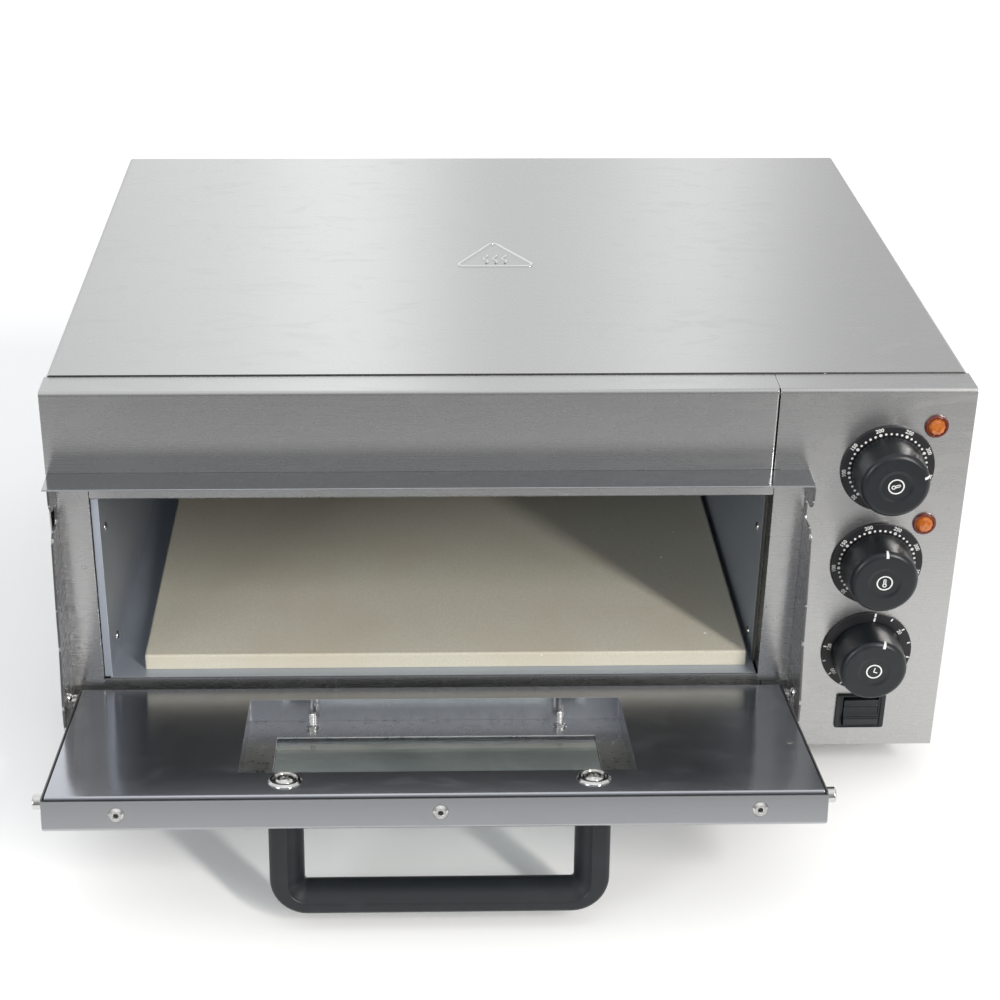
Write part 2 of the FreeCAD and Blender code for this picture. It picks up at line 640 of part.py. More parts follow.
def switch():
    """A rocker switch: a housing with a rim in front of the panel, and a rocker in its well."""
    rim_thick, tub_depth, well_depth, well_half, tab = 2, 20, 9, 11.5, 8
    rim = box(("-switch_width / 2", "switch_width / 2"), ("-switch_height / 2", "switch_height / 2"),
              (0, rim_thick))
    tub = box(("-tub_width / 2", "tub_width / 2"), ("-tub_height / 2", "tub_height / 2"), (-tub_depth, 0))
    well = box((-well_half, well_half), (-10.6, 10.6), (-well_depth, f"{rim_thick} + over"))
    tabs = [box((u, u + 1), (-3, 3), (-tub_depth - tab, -tub_depth)) for u in (-8, 0, 8)]
    control("switch_housing", cut(fuse(rim, tub, *tabs), well), "switch_x", "switch_z")
    half, tip, dip, heel = 8.8, 4.2, 2.4, 5
    profile = [(-4, -heel, 1), (-half, -2, 0.6), (-half, tip, 0.8), (0, dip, 3), (half, tip, 0.8),
               (half, -2, 0.6), (4, -heel, 1)]
    rocker = padded("YZ_Plane", profile, 22, -11)
    out_of_panel = Rotation(Vector(1, 0, 0), 90 - dim("rocker_angle"))
    rocker.Placement = FreeCAD.Placement(Vector(), out_of_panel)
    bind(rocker, "Placement.Rotation.Angle", "90 - rocker_angle")
    place(rocker, "switch_x - body_width / 2", "-front_setback", "switch_z + foot_height")
    name_node(rocker, "switch_rocker")


def wiring():
    """The terminal block on the floor of the control box, and the cable gland at the back."""
    length, low_y, high_y, top, well = 60, 360, 382, 24, 12
    block = box(("partition_x + 10", f"partition_x + 10 + {length}"), (low_y, high_y), ("skin", top))
    wells = [rod(f"partition_x + {u}", (low_y + high_y) / 2, top - well, 3, well + 2)
             for u in range(18, 67, 12)]
    casing("terminal_block", cut(block, *wells))
    nut_thick = 5
    nut = rod("gland_x", f"body_depth - skin - {nut_thick}", "gland_z", "gland_nut", nut_thick, "y")
    barrel = rod("gland_x", "body_depth - skin", "gland_z", "gland_thread", "4 * skin", "y")
    cap = cone("gland_x", "body_depth", "gland_z", "gland_nut", "gland_nut - 2", "gland_reach", "y")
    way = rod("gland_x", "body_depth - 12", "gland_z", "gland_way", "gland_reach + 26", "y")
    casing("cable_gland", cut(fuse(nut, barrel, cap), way))


# ---- feet and screws -----------------------------------------------------------------------------------

def foot_places():
    return [(x, y) for x in ("foot_inset_x", "body_width - foot_inset_x")
            for y in ("foot_inset_y", "body_depth - foot_inset_y")]


def feet():
    """Rubber feet, each with a stud through the base tray."""
    pads = [fuse(cone(x, y, "-foot_height", "foot_radius - 3", "foot_radius", "foot_height"),
                 rod(x, y, "0", "stud_radius", "2 * skin")) for x, y in foot_places()]
    return casing("feet", group(*pads))


def casing_screws():
    head_radius, crown_radius, head, stem = 4, 2.6, 2, 6
    screws = []
    for y in COVER_SCREW_Y:
        screws.append(fuse(
            cone(f"cover_inset - {head}", y, "cover_screw_z", crown_radius, head_radius, head, "x"),
            rod("cover_inset", y, "cover_screw_z", "screw_radius", stem, "x")))
        screws.append(fuse(
            cone("body_width - cover_inset", y, "cover_screw_z", head_radius, crown_radius, head, "x"),
            rod(f"body_width - cover_inset - {stem}", y, "cover_screw_z", "screw_radius", stem, "x")))
    dome, shank = 2, 3
    y, z = CHEEK_SCREW
    for head_x, wide, narrow, shank_x in (
            ("cheek_left + cheek_skin", 3, 1.6, f"cheek_left + cheek_skin - {shank}"),
            (f"cheek_right - cheek_skin - {dome}", 1.6, 3, "cheek_right - cheek_skin")):
        screws.append(fuse(cone(head_x, y, z, wide, narrow, dome, "x"),
                           rod(shank_x, y, z, "screw_radius - 0.4", shank, "x")))
    return casing("casing_screws", group(*screws))


# ---- door ----------------------------------------------------------------------------------------------

WINDOW = (("window_left", "window_right"), ("-door_thick", "door_thick"), ("window_low", "window_high"))
EDGE_SCREWS = (52, 236, 418.5)
RIVET_X, RIVET_Z = 446.6, 81.7
CLAMP_SCREWS = [(x, z) for x in (158.5, 313) for z in (27, 109.5)]


def stop_pin_place():
    """The stop pin touches the outer skin of the open door, close to its hinge: (y, z) in the casing."""
    tilt = math.radians(dim("door_tilt"))
    along = dim("stop_pin_along")
    below = dim("door_thick") - dim("door_inner") + dim("stop_pin_radius") + 0.2
    y = dim("hinge_y") - along * math.cos(tilt) - below * math.sin(tilt)
    z = dim("hinge_z") + along * math.sin(tilt) - below * math.cos(tilt)
    return y, z


def handle_places():
    middle = (dim("door_left") + dim("door_right")) / 2 + dim("handle_shift")
    return [middle - dim("handle_span") / 2, middle + dim("handle_span") / 2]


def door_screw_holes():
    """Holes for the free edge's screws and for the handle's bolts."""
    screws = [rod(x, "edge_screw_y", "door_high - 5", "screw_radius", 10) for x in EDGE_SCREWS]
    bolts = [rod(x, "-2 * door_thick", "handle_z", "bolt_radius", "4 * door_thick", "y")
             for x in handle_places()]
    return screws + bolts


def door_outer_pan():
    outer = "door_inner - door_thick"
    tray = box(("door_left", "door_right"), (outer, "door_inner - rim_step"), ("-door_low", "door_high"))
    hollow = box(("door_left + door_skin", "door_right - door_skin"),
                 (f"{outer} + door_skin", "door_inner + over"),
                 ("door_skin - door_low", "door_high - door_skin"))
    lowered = box(("door_left - over", "door_right + over"), ("door_inner - free_rim_step", "door_inner"),
                  ("door_high - door_skin", "door_high + over"))
    low_edge = dim("door_inner") - dim("door_thick") + 0.1
    shell = fillet(tray, 2.2, lambda edge: edge.BoundBox.YMax < low_edge)
    hinge = rod("door_left - over", 0, 0, "hinge_pin_radius + running_gap", "door_right", "x")
    latch = rod("door_left - over", "latch_pin_y", "latch_pin_z", "pin_stem_radius", "door_right", "x")
    return door_piece("door_outer_pan", cut(shell, hollow, lowered, box(*WINDOW), hinge, latch,
                                             *door_screw_holes()))


def door_inner_panel():
    """The face towards the chamber, with a deep flange all round the window recess."""
    inner, skin, lip_end = dim("door_inner"), dim("skin"), -9
    low = dim("door_skin") + dim("panel_gap") - dim("door_low")
    high = dim("door_high") - dim("door_skin") - dim("seam_gap")
    profile = [(inner, low, 0), (inner, high, 1.5), (lip_end, high, 0), (lip_end, high - skin, 0),
               (inner - skin, high - skin, 0.5), (inner - skin, low, 0)]
    sheet_metal = padded("YZ_Plane", profile, "door_right - door_left - 2 * (door_skin + panel_gap)",
                         "door_left + door_skin + panel_gap")
    recess = box(("recess_left - skin", "recess_right + skin"), ("-recess_floor", "door_inner - skin / 2"),
                 ("recess_low - skin", "recess_high + skin"))
    well = box(("recess_left", "recess_right"), ("-door_thick", "door_thick"), ("recess_low", "recess_high"))
    rivet = rod(RIVET_X, "door_inner - 2 * skin", RIVET_Z, "rivet_radius - 0.4", "3 * skin", "y")
    return door_piece("door_inner_panel", cut(fuse(sheet_metal, recess), well, rivet, *door_screw_holes()))


def window():
    """The glass and the frame that clamps it on the outer skin."""
    front = "door_inner - door_thick + door_skin"
    pane = box(("window_left - glass_margin", "window_right + glass_margin"),
               (front, f"{front} + glass_thick"), ("window_low - glass_margin", "window_high + 4"))
    door_piece("window_glass", pane)
    plate = box(("recess_left - skin", "recess_right + skin"), (f"{front} + glass_thick",
                f"{front} + glass_thick + skin"), ("recess_low - skin", "recess_high + skin"))
    holes = [rod(x, "-door_thick", z, "screw_radius", "2 * door_thick", "y") for x, z in CLAMP_SCREWS]
    door_piece("glass_retainer", cut(plate, box(*WINDOW), *holes))
    nut = 3.2
    seat = f"{front} + glass_thick + skin"
    screws = []
    for x, z in CLAMP_SCREWS:
        screws.append(fuse(rod(x, front, z, "screw_radius", "stud_length", "y"),
                           rod(x, seat, z, "clamp_head_radius", nut, "y")))
    door_piece("glass_clamp_screws", group(*screws))


BOLT_END = "door_inner - door_thick - 22"


def door_handle():
    """A square-cornered D handle with rounded outer corners."""
    left, right = handle_places()
    half = dim("handle_leg") / 2
    grip_top = dim("handle_grip")
    base = dim("door_inner") - dim("door_thick")
    far = base - dim("handle_reach")
    corner = dim("handle_corner")
    edge_round = dim("handle_edge")
    # Drawn on the XY plane, so that the pad runs up the shut door.
    outline = [
        (left - half, base, 0), (left - half, far, corner), (right + half, far, corner),
        (right + half, base, 0), (right - half, base, 0), (right - half, far + grip_top, edge_round),
        (left + half, far + grip_top, edge_round), (left + half, base, 0),
    ]
    grip = padded("XY_Plane", outline, "handle_depth", "handle_z - handle_depth / 2")
    softened = fillet(grip, edge_round, lambda edge: edge.BoundBox.ZLength < 0.1
                      and (edge.BoundBox.YMax < base - 0.1 or edge.BoundBox.YLength > half))
    holes = [rod(x, BOLT_END, "handle_z", "bolt_radius", "2 * door_thick", "y") for x in (left, right)]
    return door_piece("door_handle", cut(softened, *holes))


def handle_screws():
    """Pan-head screws in cup washers, through the door into the handle."""
    face = "door_inner"
    cup, head, recess = 2, 2.4, 1.2
    parts = []
    for x in handle_places():
        washer = cut(cone(x, face, "handle_z", "washer_radius", "washer_radius - 2", cup, "y"),
                     rod(x, f"{face} - over", "handle_z", "bolt_head_radius", cup + 2, "y"))
        pan = cone(x, face, "handle_z", "bolt_head_radius", "bolt_head_radius - 1.4", head, "y")
        slot = cross_slot(x, f"{face} + {head - recess}", "handle_z", recess + 0.2)
        stem = rod(x, BOLT_END, "handle_z", "bolt_radius", f"{face} - ({BOLT_END})", "y")
        parts.extend([washer, fuse(cut(pan, *slot), stem)])
    return door_piece("handle_screws", group(*parts))


def cross_slot(x, y, z, depth):
    """Two crossed bars that cut a drive recess into a screw head facing +Y."""
    reach, half = 3.4, 0.8
    return [box((f"{x} - {u}", f"{x} + {u}"), (y, f"{y} + {depth}"), (f"{z} - {v}", f"{z} + {v}"))
            for u, v in ((reach, half), (half, reach))]


def door_edge_screws():
    head, socket, stem = 1.8, 1.4, 4
    parts = []
    for x in EDGE_SCREWS:
        crown = cone(x, "edge_screw_y", "door_high", "edge_screw_head", "edge_screw_head - 1.4", head)
        hollow = rod(x, "edge_screw_y", "door_high + 0.6", socket, head)
        parts.append(fuse(cut(crown, hollow),
                          rod(x, "edge_screw_y", f"door_high - {stem}", "screw_radius", stem)))
    return door_piece("door_edge_screws", group(*parts))


def latch_pins():
    """Round-ended pins that drop into the cheeks' notches, and the rivet of the right pin's bracket."""
    tip, blunt = 1, "latch_pin_radius - 1"
    rivet_head, rivet_stem = 0.25, 2.4
    where = ("latch_pin_y", "latch_pin_z")
    left = fuse(cone("door_left - pin_length", *where, blunt, "latch_pin_radius", tip, "x"),
                rod(f"door_left - pin_length + {tip}", *where, "latch_pin_radius",
                    f"pin_length - {tip}", "x"),
                rod(f"door_left - {tip}", *where, "pin_stem_radius", f"pin_length + {tip}", "x"))
    right = fuse(cone(f"door_right + pin_length - {tip}", *where, "latch_pin_radius", blunt, tip, "x"),
                 rod("door_right", *where, "latch_pin_radius", f"pin_length - {tip}", "x"),
                 rod("door_right - pin_length", *where, "pin_stem_radius", f"pin_length + {tip}", "x"))
    rivet = fuse(cone(RIVET_X, "door_inner", RIVET_Z, "rivet_head_radius - 0.8", "rivet_radius",
                      rivet_head, "y"),
                 rod(RIVET_X, f"door_inner - {rivet_stem}", RIVET_Z, "rivet_radius - 0.4", rivet_stem, "y"))
    return door_piece("latch_pins", group(left, right, rivet))


def hinge_pins():
    """A bolt at each end of the hinge axis, fixed in its cheek, with a collar that spaces the door."""
    head, head_radius, collar_radius, shank = 2.6, 5.5, 5, 14
    bolts = []
    for head_x, shank_x, collar_x, collar in (
            (f"cheek_left - {head}", "cheek_left", "cheek_left + cheek_skin",
             "door_left - cheek_left - cheek_skin - seam_gap"),
            ("cheek_right", f"cheek_right - {shank}", "door_right + seam_gap",
             "cheek_right - cheek_skin - door_right - seam_gap")):
        bolts.append(fuse(
            rod(head_x, "hinge_y", "hinge_z", head_radius, head, "x"),
            rod(shank_x, "hinge_y", "hinge_z", "hinge_pin_radius", shank, "x"),
            rod(collar_x, "hinge_y", "hinge_z", collar_radius, collar, "x")))
    return casing("hinge_pins", group(*bolts))


def stop_pins():
    y, z = stop_pin_place()
    length = 16
    pins = [rod(x, y, z, "stop_pin_radius", length, "x") for x in ("cheek_left", f"cheek_right - {length}")]
    return casing("stop_pins", group(*pins))


# ---- the whole oven ------------------------------------------------------------------------------------

top_cover()
front_panel()
control_panel()
rear_panel()
base_tray()
kick_panel()
partition()
hood_ledge()
cheek("left_cheek", "cheek_left")
cheek("right_cheek", "cheek_right - cheek_skin")
post("left_post", "cheek_left + cheek_skin", "opening_left", ("opening_left - skin", "opening_left"))
post("right_post", "opening_right", "cheek_right - cheek_skin", ("opening_right", "opening_right + skin"))
door_lintel()
chamber()
insulation()
element("upper_element", "upper_element_z")
element("lower_element", "lower_element_z")
element_holders()
baking_stone()
thermostat_bulbs()
for title, (height_cell, angle) in DIALS.items():
    dial(title, height_cell, angle)
control_bodies()
lamps()
switch()
wiring()
feet()
casing_screws()
door_outer_pan()
door_inner_panel()
window()
door_handle()
handle_screws()
door_edge_screws()
latch_pins()
hinge_pins()
stop_pins()

doc.recompute()
faults = [obj.Label for obj in doc.Objects if "Invalid" in obj.State or "Error" in obj.State]
for obj in nodes:
    if obj.Shape.isNull() or not obj.Shape.isValid() or not obj.Shape.Solids:
        faults.append(obj.Label)
if faults:
    raise RuntimeError(f"faulty objects: {faults}")

os.makedirs("parts", exist_ok=True)
whole = FreeCAD.BoundBox()
for obj in nodes:
    obj.Shape.exportStep(f"parts/{obj.Label}.step")
    whole.add(obj.Shape.BoundBox)
print(len(nodes), "nodes, box", whole)
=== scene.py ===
import json
import math

import bmesh
import bpy
from mathutils import Matrix, Vector

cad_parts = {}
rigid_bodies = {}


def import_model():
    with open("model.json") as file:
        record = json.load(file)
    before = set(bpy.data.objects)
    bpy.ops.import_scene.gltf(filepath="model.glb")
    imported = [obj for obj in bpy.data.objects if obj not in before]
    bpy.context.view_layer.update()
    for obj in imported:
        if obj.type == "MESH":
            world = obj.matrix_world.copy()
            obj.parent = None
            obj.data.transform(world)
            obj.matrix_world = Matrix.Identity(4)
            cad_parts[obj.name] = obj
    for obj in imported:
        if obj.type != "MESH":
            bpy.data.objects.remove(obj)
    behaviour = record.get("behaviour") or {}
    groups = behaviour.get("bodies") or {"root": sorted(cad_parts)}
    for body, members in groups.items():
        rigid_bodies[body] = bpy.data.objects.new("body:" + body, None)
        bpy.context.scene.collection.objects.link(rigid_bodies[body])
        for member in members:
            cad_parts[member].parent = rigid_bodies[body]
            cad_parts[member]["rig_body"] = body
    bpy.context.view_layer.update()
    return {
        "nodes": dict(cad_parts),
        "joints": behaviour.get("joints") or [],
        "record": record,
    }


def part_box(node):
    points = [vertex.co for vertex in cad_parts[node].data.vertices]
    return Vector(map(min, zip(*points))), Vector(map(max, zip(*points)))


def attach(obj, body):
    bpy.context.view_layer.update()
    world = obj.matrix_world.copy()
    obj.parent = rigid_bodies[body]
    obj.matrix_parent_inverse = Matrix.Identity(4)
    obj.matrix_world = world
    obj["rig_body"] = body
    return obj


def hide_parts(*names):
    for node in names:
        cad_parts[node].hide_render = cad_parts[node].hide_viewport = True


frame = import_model()

# Lengths in the drawings are millimetres. A drawing's own frame turns them into metres.
MM = 0.001
NODES = frame["nodes"]
SLOT_OF = {part["node"]: part["material_slot"] for part in frame["record"]["subparts"]}
JOINTS = {joint["name"]: joint for joint in frame["joints"]}

SHEET_EDGE = 1.7  # a face narrower than this is where a sheet was cut
SHEET_ROUNDING = 0.22  # radius of a sheet's edges
BLOCK_ROUNDING = 0.4  # radius of the edges of glass, stone and moulded blocks
FOLD_DROP = 2.4  # how far the door's inner panel seems to roll down at its free edge
PRINT_THICK = 0.06
LETTER_WEIGHT = 0.07  # thickens the strokes of the dial numbers
LEFT_HALF = 100  # in the casing's and the door's drawing, parts left of this are on the left


# ---- frames that the pieces are drawn in ----

front_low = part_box("front_panel")[0]
FRONT_Y = front_low.y
CORNER = Vector((front_low.x, FRONT_Y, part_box("control_panel")[0].z))
CASING = Matrix.Translation(CORNER) @ Matrix.Scale(MM, 4)

hinge = Vector(JOINTS["door_hinge"]["pos_m"])
OPEN_ANGLE = math.radians(JOINTS["door_hinge"]["range_deg"][1])
DOOR = (Matrix.Translation((CORNER.x, hinge.y, hinge.z)) @ Matrix.Rotation(OPEN_ANGLE, 4, "X")
        @ Matrix.Scale(MM, 4))

# Turns that stand a piece drawn along +Z on a face that looks to the front or to the back.
TO_FRONT = Matrix.Rotation(math.pi / 2, 4, "X")
TO_BACK = Matrix.Rotation(-math.pi / 2, 4, "X")


def to_side(outward):
    """The same for a face that looks along +X (outward 1) or -X (outward -1)."""
    return Matrix.Rotation(outward * math.pi / 2, 4, "Y")


def control_frame(node):
    """Drawn on a control's own axis: +Z out of the panel, +Y up, from the panel's face."""
    low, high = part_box(node)
    middle = (low + high) / 2
    return Matrix.Translation((middle.x, FRONT_Y, middle.z)) @ TO_FRONT @ Matrix.Scale(MM, 4)


def box_of(points):
    return (Vector([min(p[i] for p in points) for i in range(3)]),
            Vector([max(p[i] for p in points) for i in range(3)]))


def local_box(node, frame_matrix):
    """The lowest and highest corners of a CAD piece in a drawing's own frame."""
    back = frame_matrix.inverted()
    return box_of([back @ vertex.co for vertex in NODES[node].data.vertices])


def islands(node, frame_matrix):
    """The lowest corner, highest corner and middle of each solid of a CAD piece, in a drawing's own frame."""
    bm = welded(node)
    bm.transform(frame_matrix.inverted())
    left = set(bm.verts)
    found = []
    while left:
        stack = [left.pop()]
        members = []
        while stack:
            vertex = stack.pop()
            members.append(vertex.co.copy())
            for edge in vertex.link_edges:
                other = edge.other_vert(vertex)
                if other in left:
                    left.remove(other)
                    stack.append(other)
        low, high = box_of(members)
        found.append((low, high, (low + high) / 2))
    bm.free()
    return sorted(found, key=lambda box: tuple(round(v, 2) for v in box[0]))


# ---- mesh helpers ----

def placed(name, data):
    obj = bpy.data.objects.new(name, data)
    bpy.context.scene.collection.objects.link(obj)
    return obj


def welded(node):
    bm = bmesh.new()
    bm.from_mesh(NODES[node].data)
    bmesh.ops.remove_doubles(bm, verts=bm.verts, dist=0.005 * MM)
    return bm


def rounded(points, steps=4):
    """A closed outline from corners (u, v, radius), with each corner drawn as an arc."""
    outline = []
    for i, (u, v, radius) in enumerate(points):
        here = Vector((u, v))
        if not radius:
            outline.append(here)
            continue
        back = (Vector(points[i - 1][:2]) - here).normalized()
        ahead = (Vector(points[(i + 1) % len(points)][:2]) - here).normalized()
        half = back.angle(ahead) / 2
        centre = here + (back + ahead).normalized() * radius / math.sin(half)
        start = here + back * radius / math.tan(half) - centre
        sweep_angle = start.angle_signed(here + ahead * radius / math.tan(half) - centre)
        for k in range(steps + 1):
            turn = Matrix.Rotation(-sweep_angle * k / steps, 2)
            outline.append(centre + turn @ start)
    return outline


def loft(rows, loop=False):
    """A skin over closed rows of points. loop joins the last row to the first, in place of two caps."""
    bm = bmesh.new()
    lines = [[bm.verts.new(point) for point in row] for row in rows]
    pairs = list(zip(lines, lines[1:]))
    if loop:
        pairs.append((lines[-1], lines[0]))
    count = len(lines[0])
    for a, b in pairs:
        for i in range(count):
            j = (i + 1) % count
            bm.faces.new((a[i], a[j], b[j], b[i]))
    if not loop:
        bm.faces.new(reversed(lines[0]))
        bm.faces.new(lines[-1])
    bmesh.ops.remove_doubles(bm, verts=bm.verts, dist=1e-4)
    bmesh.ops.dissolve_degenerate(bm, edges=bm.edges, dist=1e-5)
    bmesh.ops.recalc_face_normals(bm, faces=bm.faces)
    return bm


def lathe(outline, turns):
    """A closed outline of (radius, height) turned about Z."""
    return loft([[Vector((r * math.cos(math.tau * k / turns), r * math.sin(math.tau * k / turns), z))
                  for r, z in outline] for k in range(turns)], loop=True)


def prism(outline, low, high):
    return loft([[Vector((u, v, z)) for u, v in outline] for z in (low, high)])


def disc(u, v, radius, low, high, turns=20):
    return prism([(u + radius * math.cos(math.tau * k / turns), v + radius * math.sin(math.tau * k / turns))
                  for k in range(turns)], low, high)


def swept(path, section, closed=False):
    """A section of (across, up) carried along a flat path of (u, v)."""
    rows = []
    count = len(path)
    for i, point in enumerate(path):
        before = path[i - 1] if i or closed else point
        after = path[(i + 1) % count] if i + 1 < count or closed else point
        first = (point - before) if before is not point else (after - point)
        second = (after - point) if after is not point else first
        first, second = first.normalized(), second.normalized()
        along = (first + second).normalized()
        side = Vector((-along.y, along.x)) / max(0.3, along.dot(first))
        rows.append([Vector((*(point + side * across), up)) for across, up in section])
    return loft(rows, loop=closed)


def merged(*parts):
    whole = bmesh.new()
    scratch = bpy.data.meshes.new("scratch")
    for part in parts:
        part.to_mesh(scratch)
        whole.from_mesh(scratch)
        part.free()
    bpy.data.meshes.remove(scratch)
    return whole


def moved(bm, *shift, turn=None):
    bm.transform(Matrix.Translation(shift) @ (turn or Matrix()))
    return bm


def carved(bm, cutter):
    """bm with the cutter's space taken out of it."""
    stock, tool = (bpy.data.objects.new(name, bpy.data.meshes.new(name)) for name in ("stock", "tool"))
    for obj, source in ((stock, bm), (tool, cutter)):
        source.to_mesh(obj.data)
        source.free()
        bpy.context.scene.collection.objects.link(obj)
    change = stock.modifiers.new("cut", "BOOLEAN")
    change.object = tool
    change.solver = "EXACT"
    bpy.context.view_layer.update()
    graph = bpy.context.evaluated_depsgraph_get()
    result = bpy.data.meshes.new_from_object(stock.evaluated_get(graph))
    carved_bm = bmesh.new()
    carved_bm.from_mesh(result)
    for obj in (stock, tool):
        mesh = obj.data
        bpy.data.objects.remove(obj)
        bpy.data.meshes.remove(mesh)
    bpy.data.meshes.remove(result)
    return carved_bm


def lettering(text, height):
    """Flat raised characters, centred on the origin."""
    curve = bpy.data.curves.new("lettering", "FONT")
    curve.body = text
    curve.size = height
    curve.align_x = "CENTER"
    curve.align_y = "CENTER"
    curve.extrude = PRINT_THICK / 2
    curve.offset = LETTER_WEIGHT
    curve.resolution_u = 3
    obj = placed("lettering", curve)
    bpy.context.view_layer.update()
    mesh = bpy.data.meshes.new_from_object(obj.evaluated_get(bpy.context.evaluated_depsgraph_get()))
    bm = bmesh.new()
    bm.from_mesh(mesh)
    bpy.data.objects.remove(obj)
    bpy.data.curves.remove(curve)
    bpy.data.meshes.remove(mesh)
    return bm


def bevelled(bm, width, angle=35):
    """Rounds every sharp edge. The new faces are marked as worn, or as cut where they touch a cut face."""
    for name in ("edge", "cut"):
        if not bm.faces.layers.float.get(name):
            bm.faces.layers.float.new(name)
    worn, cut = bm.faces.layers.float["edge"], bm.faces.layers.float["cut"]
    sharp = [edge for edge in bm.edges
             if len(edge.link_faces) == 2 and edge.calc_face_angle() > math.radians(angle)]
    made = bmesh.ops.bevel(bm, geom=sharp, offset=width, offset_type="OFFSET", segments=2, profile=0.5,
                           affect="EDGES", clamp_overlap=False, loop_slide=True)
    fresh = set(made["faces"])
    for face in fresh:
        beside_cut = any(other[cut] > 0.5 for edge in face.edges for other in edge.link_faces
                         if other not in fresh)
        face[worn] = 0.0 if beside_cut else 1.0
        face[cut] = 1.0 if beside_cut else 0.0
    return bm


def show(name, bm, body, slot, matrix=None, replaced=(), material=None, crease=40):
    """Puts a drawn piece in the scene: on its body, in its material, in place of its CAD pieces."""
    if matrix:
        bm.transform(matrix)
    mesh = bpy.data.meshes.new(name)
    bm.to_mesh(mesh)
    bm.free()
    mesh.shade_smooth()
    mesh.set_sharp_from_angle(angle=math.radians(crease))
    mesh.materials.append(material or MATERIALS[slot])
    obj = placed(name, mesh)
    weighted = obj.modifiers.new("weighted_normals", "WEIGHTED_NORMAL")
    weighted.keep_sharp = True
    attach(obj, body)
    if replaced:
        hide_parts(*replaced)
    return obj


def mark_cut_edges_for_painted_shade(bm):
    """Marks the narrow faces where a sheet was cut. The steel paints them dark as painted shade, standing in
    for the shadow lines along sheet edges and gaps.
    """
    cut = bm.faces.layers.float.get("cut") or bm.faces.layers.float.new("cut")
    for face in bm.faces:
        if 2 * face.calc_area() / face.calc_perimeter() < SHEET_EDGE:
            longest = max(face.edges, key=lambda edge: edge.calc_length())
            if len(longest.link_faces) == 2 and longest.calc_face_angle() > math.radians(60):
                face[cut] = 1.0


def soften(node, width=SHEET_ROUNDING, change=None, wide=None, wide_width=1.2, material=None):
    """A CAD piece with rounded edges. change edits it first, and wide picks edges with a larger bend."""
    bm = welded(node)
    bm.transform(Matrix.Scale(1 / MM, 4))
    if change:
        change(bm)
    bmesh.ops.dissolve_limit(bm, angle_limit=math.radians(0.3), verts=bm.verts, edges=bm.edges)
    mark_cut_edges_for_painted_shade(bm)
    if wide:
        bmesh.ops.bevel(bm, geom=[edge for edge in bm.edges if wide(edge)], offset=wide_width,
                        offset_type="OFFSET", segments=4, profile=0.5, affect="EDGES", clamp_overlap=False)
    bevelled(bm, width)
    return show(f"{node}_finished", bm, NODES[node]["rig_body"], SLOT_OF[node], Matrix.Scale(MM, 4), (node,),
                material)


# ---- materials ----

class Graph:
    """A material's nodes, with short calls for the ones used here."""

    def __init__(self, name, **settings):
        self.material = bpy.data.materials.new(name)
        self.material.use_nodes = True
        self.nodes = self.material.node_tree.nodes
        self.links = self.material.node_tree.links
        self.shader = self.nodes["Principled BSDF"]
        self.place = self.add("TexCoord").outputs["Object"]
        for key, value in settings.items():
            self.shader.inputs[key.replace("_", " ")].default_value = value

    def add(self, kind, **settings):
        node = self.nodes.new("ShaderNode" + kind)
        for key, value in settings.items():
            setattr(node, key, value)
        return node

    def set(self, socket, value):
        if isinstance(value, bpy.types.NodeSocket):
            self.links.new(value, socket)
        else:
            socket.default_value = value

    def math(self, operation, a, b=0.0):
        node = self.add("Math", operation=operation)
        self.set(node.inputs[0], a)
        self.set(node.inputs[1], b)
        return node.outputs[0]

    def stretched(self, scale):
        node = self.add("Mapping")
        self.links.new(self.place, node.inputs["Vector"])
        node.inputs["Scale"].default_value = scale
        return node.outputs[0]

    def noise(self, scale, detail=3.0, rough=0.55, warp=0.0):
        """Noise with its own scale along each axis, in features per metre."""
        node = self.add("TexNoise")
        self.links.new(self.stretched(scale if hasattr(scale, "__len__") else (scale,) * 3),
                       node.inputs["Vector"])
        for key, value in (("Scale", 1.0), ("Detail", detail), ("Roughness", rough), ("Distortion", warp)):
            node.inputs[key].default_value = value
        return node.outputs["Fac"]

    def cells(self, scale):
        """Distance from the middle of cells, with their number per metre."""
        node = self.add("TexVoronoi")
        self.links.new(self.stretched((scale,) * 3), node.inputs["Vector"])
        node.inputs["Scale"].default_value = 1.0
        return node.outputs["Distance"]

    def range(self, value, low, high, to_low, to_high):
        node = self.add("MapRange", interpolation_type="SMOOTHSTEP")
        for socket, item in zip(node.inputs, (value, low, high, to_low, to_high)):
            self.set(socket, item)
        return node.outputs[0]

    def mix(self, factor, a, b):
        node = self.add("Mix", data_type="RGBA")
        self.set(node.inputs["Factor"], factor)
        colour_a, colour_b = [socket for socket in node.inputs if socket.type == "RGBA"]
        self.set(colour_a, a)
        self.set(colour_b, b)
        return next(socket for socket in node.outputs if socket.type == "RGBA")

    def mark(self, name):
        return self.add("Attribute", attribute_name=name).outputs["Fac"]

    def bump(self, *layers):
        """Bump from (height, distance in mm, strength) layers."""
        normal = None
        for height, distance, strength in layers:
            node = self.add("Bump")
            self.set(node.inputs["Height"], height)
            node.inputs["Distance"].default_value = distance * MM
            node.inputs["Strength"].default_value = strength
            if normal:
                self.links.new(normal, node.inputs["Normal"])
            normal = node.outputs[0]
        self.links.new(normal, self.shader.inputs["Normal"])

    def put(self, name, value):
        self.set(self.shader.inputs[name], value)


def grey(value, tint=(1.0, 1.0, 1.0)):
    return (value * tint[0], value * tint[1], value * tint[2], 1.0)


